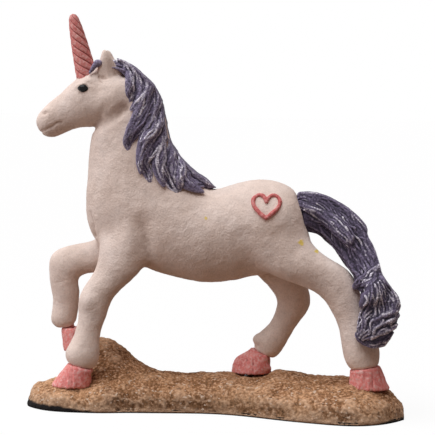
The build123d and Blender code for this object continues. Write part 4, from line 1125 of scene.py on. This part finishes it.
def make_horn(material):
    """Spiral horn with incised lines that wind down to the right."""
    low, high = box_mm("horn")
    seat, tip = (
        np.array([low[0] + along * (high[0] - low[0]), 0, low[2] + up * (high[2] - low[2])])
        for along, up in (HORN_SEAT_SHARE, HORN_TIP_SHARE)
    )
    axis = (tip - seat) / np.linalg.norm(tip - seat)
    side = np.array([0.0, 1.0, 0.0])
    front = np.cross(side, axis)
    s = np.linspace(0, 1, HORN_RINGS)[:, None]
    angle = np.linspace(0, 2 * math.pi, HORN_AROUND, endpoint=False)[None, :]
    phase = (HORN_LINES * (angle / (2 * math.pi) + HORN_TURNS * s)) % 1.0
    cut = bell(np.minimum(phase, 1 - phase) / HORN_LINE_SHARE)
    swell = HORN_SWELL * np.sin(math.pi * phase)
    radius = (high[1] - low[1]) / 2 * np.interp(s, HORN_HEIGHT_SHARES, HORN_RADIUS_SHARES)
    radius = radius + (swell - HORN_LINE_DEPTH * cut) * np.minimum(1, HORN_TIP_FADE * (1 - s))
    around = np.cos(angle)[..., None] * front + np.sin(angle)[..., None] * side
    points = seat + s[..., None] * (tip - seat) + radius[..., None] * around
    points = np.vstack([points.reshape(-1, 3), seat, tip])
    quads, index = ring_quads(HORN_RINGS, HORN_AROUND)
    last = index.size
    fans = end_fan(index[0][::-1], last) + end_fan(index[-1], last + 1)
    # Relief values for the paint: dry-brush between the lines, painted shade in them
    values = {"relief": np.append((HORN_PALE - HORN_LINE_SHADE * cut).ravel(), [0, 0])}
    faces = quads.tolist() + fans
    return add_piece("spiral_horn", points, faces, material, ["horn"], values)


def shape_far_hoof(clay, low, span):
    """Rounds the toe out and cuts a notch with a raised lip into the near side of the heel."""
    clay.dent(low + span * np.array(TOE_SHARE), TOE_RADIUS_SHARE * span, TOE_SWELL)
    heel = low + span * np.array(NOTCH_SHARE)
    ring = np.hypot((clay.x - heel[0]) / NOTCH_HALF_LENGTH, (clay.z - heel[2]) / NOTCH_HALF_HEIGHT)
    notch = NOTCH_DEPTH * bell(ring) - LIP_HEIGHT * bell((ring - LIP_SHARE) / LIP_WIDTH_SHARE)
    clay.field = clay.field + (notch * (clay.y < low[1] + span[1] / 2)).astype(np.float32)


def make_hoof(name, material):
    """A hoof with fine upright ridges and a worn edge."""
    low, high = box_mm(name)
    clay = Clay(low, high, HOOF_GRAIN)
    clay.join(name, *PINS)
    middle, span = (low + high) / 2, high - low
    clay.dent((high[0], middle[1], middle[2]), HEEL_RADIUS_SHARES * span, HEEL_DEPTH)
    if name == "far_hind_hoof":
        shape_far_hoof(clay, low, span)
    clay.field = clay.blurred(HOOF_BLUR)
    points, quads, normals = finish_clay(clay, 1, MAIN_SHELL_SHARE)
    turn = np.arctan2(points[:, 1] - middle[1], points[:, 0] - middle[0])
    upright = np.stack([turn * RIDGES_AROUND, points[:, 2] * RIDGE_RISE_SHARE, 0 * turn], axis=1)
    ridges = rough(upright, RIDGE_LAYERS)
    points = points + normals * (ridges + rough(points, HOOF_LAYERS))[:, None]
    points[:, 2] = np.maximum(points[:, 2], low[2])
    values = {"relief": relief(points, quads, point_normals(points, quads), HOOF_RELIEF_PASSES)}
    return add_piece(name + "_paint", points, quads.tolist(), material, [name], values)


def make_heart(material):
    """Raised outline of a heart, drawn by hand with a slightly uneven bead."""
    low, high = box_mm("heart_outline")
    clay = Clay(low, high, HEART_GRAIN)
    clay.join("heart_outline", grow=HEART_GROWN)
    clay.field = clay.blurred(HEART_BLUR)
    points, quads, normals = finish_clay(clay, 1, MAIN_SHELL_SHARE)
    points = points + normals * rough(points, HEART_LAYERS)[:, None]
    middle = ((low + high) / 2)[[0, 2]]
    points[:, [0, 2]] = middle + HEART_DRAWN_IN * (points[:, [0, 2]] - middle)
    return add_piece("heart_bead", points, quads.tolist(), material, ["heart_outline"])


def make_eye(name, material):
    """Almond-shaped bead that fills the lids."""
    low, high = box_mm(name)
    middle, half = (low + high) / 2, (high - low) / 2
    lat = np.linspace(-math.pi / 2, math.pi / 2, EYE_ROWS)[1:-1, None]
    lon = np.linspace(0, 2 * math.pi, EYE_COLUMNS, endpoint=False)[None, :]
    across = np.sin(lat) + 0 * lon
    along, up = np.cos(lat) * np.cos(lon), np.cos(lat) * np.sin(lon)
    up = up * (1 - EYE_POINT_SHARE * along**2)
    points = np.stack([EYE_LENGTH_SHARE * along, across, EYE_HEIGHT_SHARE * up], axis=-1).reshape(-1, 3)
    points = np.vstack([points, [0, -1, 0], [0, 1, 0]]) * half + middle + np.array([EYE_SHIFT, 0, 0])
    quads, index = ring_quads(EYE_ROWS - 2, EYE_COLUMNS)
    fans = end_fan(index[0], index.size) + end_fan(index[-1][::-1], index.size + 1)
    faces = quads[:, ::-1].tolist() + fans
    return add_piece(name + "_bead", points, faces, material, [name])


def black_rim(points, low, high):
    """Where the black paint shows: low down, rising towards both ends."""
    left = np.clip((low[0] + LEFT_RIM_LENGTH - points[:, 0]) / LEFT_RIM_LENGTH, 0, 1)
    right = np.clip((points[:, 0] - high[0] + RIGHT_RIM_LENGTH) / RIGHT_RIM_LENGTH, 0, 1)
    top = low[2] + LEFT_RIM_HEIGHT * np.sqrt(left) + RIGHT_RIM_HEIGHT * np.sqrt(right)
    depth = top - points[:, 2] + rough(points, RIM_LAYERS)
    return np.clip(depth / RIM_FADE, 0, 1) * (left + right > 0)


def make_plinth(material):
    """Sandy ground: CAD plinth roughened with lumps and grains, with a black rim at the ends."""
    low, high = box_mm("base", "base_pad")
    clay = Clay(low, high, SAND_GRAIN)
    clay.join("base")
    clay.join(*PINS, grow=SAND_PIN_COVER)
    clay.join("base_pad", grow=SAND_PAD_COVER)
    foot = int(round(0.5 * box_mm("base_pad")[1][2] / clay.grain)) - clay.first[2]
    clay.field[:, :, :foot] = clay.field[:, :, foot:foot + 1]
    clay.field = clay.blurred(SAND_BLUR)
    for name in HOOVES:
        clay.field = soft_min(clay.field, clay.of_node(name) + np.float32(HEAP_SINK), HEAP_BLEND)
    hoof = box_mm("far_hind_hoof")[0]
    hollow = (middle_mm("far_hind_hoof")[0], hoof[1] - HOLLOW_AHEAD, hoof[2] + HOLLOW_UP)
    clay.dent(hollow, HOLLOW_RADII, HOLLOW_DEPTH)
    clay.field = np.maximum(clay.field, (SKIRT_GAP - clay.z).astype(np.float32))
    points, quads, normals = finish_clay(clay, 1, MAIN_SHELL_SHARE)
    inset = np.clip((points[:, 2] - low[2]) / SMOOTH_FOOT, 0, 1)
    points = points + normals * (rough(points, SAND_LAYERS) * inset)[:, None]
    points[:, 0] = np.clip(points[:, 0], low[0], high[0])
    points[:, 2] = np.maximum(points[:, 2], SKIRT_GAP)
    normals = point_normals(points, quads)
    # Smoothed facing of the sand, for the painted light where it faces up
    facing = normals
    for _ in range(SAND_FACING_PASSES):
        facing = neighbour_mean(facing, quads)
    values = {
        "relief": relief(points, quads, normals, SAND_RELIEF_PASSES),
        "edge": relief(points, quads, normals, SAND_EDGE_PASSES),
        "rim": black_rim(points, low, high), "top": np.clip((facing[:, 2] - TOP_LIGHT_TILT) / TOP_LIGHT_FADE, 0, 1),
    }
    return add_piece("sandy_plinth", points, quads.tolist(), material, ["base"], values)


def dress_nodes(names, material):
    """Gives CAD nodes that stay as they are a better material."""
    for name in names:
        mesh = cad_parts[name].data
        mesh.materials.clear()
        mesh.materials.append(material)


# Stage

def make_floor():
    """Floor that reads white to the camera and keeps a soft shadow, and throws little light back."""
    corners = [(-FLOOR_HALF, -FLOOR_HALF, 0), (FLOOR_HALF, -FLOOR_HALF, 0),
               (FLOOR_HALF, FLOOR_HALF, 0), (-FLOOR_HALF, FLOOR_HALF, 0)]
    mesh = bpy.data.meshes.new("floor")
    mesh.from_pydata(corners, [], [(0, 1, 2, 3)])
    floor = bpy.data.objects.new("floor", mesh)
    bpy.context.scene.collection.objects.link(floor)
    material = bpy.data.materials.new("floor")
    material.use_nodes = True
    paint = Shades(material.node_tree)
    paint.nodes.clear()
    matte, glow = paint.nodes.new("ShaderNodeBsdfDiffuse"), paint.nodes.new("ShaderNodeEmission")
    paint.feed([glow.inputs["Color"], glow.inputs["Strength"]], [(1.0, 1.0, 1.0), 1.0])
    seen = paint.seen()
    paint.feed([matte.inputs["Color"]], [paint.mix(seen, FLOOR_TONE, FLOOR_WHITE)])
    mix, out = paint.nodes.new("ShaderNodeMixShader"), paint.nodes.new("ShaderNodeOutputMaterial")
    paint.feed(mix.inputs, [paint.times(seen, FLOOR_GLOW_SHARE), matte.outputs[0], glow.outputs[0]])
    paint.links.new(mix.outputs[0], out.inputs["Surface"])
    mesh.materials.append(material)


def make_world():
    """Soft warm light all round, white to the camera and in reflections."""
    world = bpy.data.worlds.new("studio")
    bpy.context.scene.world = world
    world.use_nodes = True
    paint = Shades(world.node_tree)
    back = paint.nodes["Background"]
    seen = paint.seen()
    strength = paint.nodes.new("ShaderNodeMapRange")
    strength.inputs["To Min"].default_value = WORLD_LIGHT
    strength.inputs["To Max"].default_value = 1.0
    paint.feed([strength.inputs["Value"]], [seen])
    tint = paint.mix(seen, WORLD_TINT, (1.0, 1.0, 1.0))
    paint.feed([back.inputs["Color"], back.inputs["Strength"]], [tint, strength.outputs["Result"]])


def add_sun(name, place, spread, strength, colour):
    """A wide soft light from far off, the same all over the floor."""
    data = bpy.data.lights.new(name, "SUN")
    data.angle = math.radians(spread)
    data.energy = strength
    data.color = colour
    sun = bpy.data.objects.new(name, data)
    sun.rotation_euler = (-Vector(place)).to_track_quat("-Z", "Y").to_euler()
    bpy.context.scene.collection.objects.link(sun)


def add_lamp(name, place, aim, size, power, colour):
    """A square soft lamp aimed at a point."""
    data = bpy.data.lights.new(name, "AREA")
    data.shape = "SQUARE"
    data.size = size
    data.energy = power
    data.color = colour
    lamp = bpy.data.objects.new(name, data)
    lamp.location = place
    lamp.rotation_euler = (Vector(aim) - Vector(place)).to_track_quat("-Z", "Y").to_euler()
    bpy.context.scene.collection.objects.link(lamp)


def make_camera():
    """Camera at the photograph's viewing angle: nearly side on, a little above, slightly rolled."""
    azimuth, elevation, roll = (math.radians(v) for v in (AZIMUTH, ELEVATION, ROLL))
    level = Vector((math.sin(azimuth), -math.cos(azimuth), 0))
    back = level * math.cos(elevation) + Vector((0, 0, math.sin(elevation)))
    right = Vector((math.cos(azimuth), math.sin(azimuth), 0))
    up = back.cross(right)
    across = right * math.cos(roll) + up * math.sin(roll)
    upward = up * math.cos(roll) - right * math.sin(roll)
    data = bpy.data.cameras.new("camera")
    data.sensor_width = SENSOR
    data.lens = SENSOR * DISTANCE / VIEW_WIDTH
    data.clip_start, data.clip_end = CLIP_RANGE
    camera = bpy.data.objects.new("camera", data)
    turn = Matrix((across, upward, back)).transposed().to_4x4()
    camera.matrix_world = Matrix.Translation((Vector(TARGET) + back * DISTANCE) * MM) @ turn
    bpy.context.scene.collection.objects.link(camera)
    bpy.context.scene.camera = camera


# The scene
bpy.context.scene.view_settings.view_transform = "Standard"
make_floor()
make_world()
add_sun("key", KEY_PLACE, KEY_SPREAD, KEY_STRENGTH, KEY_COLOUR)
add_lamp("cool_fill", COOL_PLACE, COOL_AIM, COOL_SIZE, COOL_POWER, COOL_COLOUR)
make_camera()

pink, hoof_pink = pink_paint("pink_paint", HORN_LIFT), pink_paint("pink_hoof_paint", HOOF_LIFT)
purple = purple_paint()
make_skin(cream_paint())
make_hair("mane", LOCKS, ["forelock"], "body", MANE_LOCK_SHARES, CREST_SHARES, MANE_SHADE, purple, MANE_SEED)
make_hair("tail", TAIL, [], None, TAIL_LOCK_SHARES, TAIL_EDGE_SHARES, TAIL_SHADE, purple, TAIL_SEED)
make_horn(pink)
for hoof in HOOVES:
    make_hoof(hoof, hoof_pink)
make_heart(coral_paint())
gloss = eye_gloss()
for eye in EYES:
    make_eye(eye, gloss)
make_plinth(sand_paint())
dress_nodes(["base_pad"], pad_felt())
dress_nodes(PINS, pin_steel())
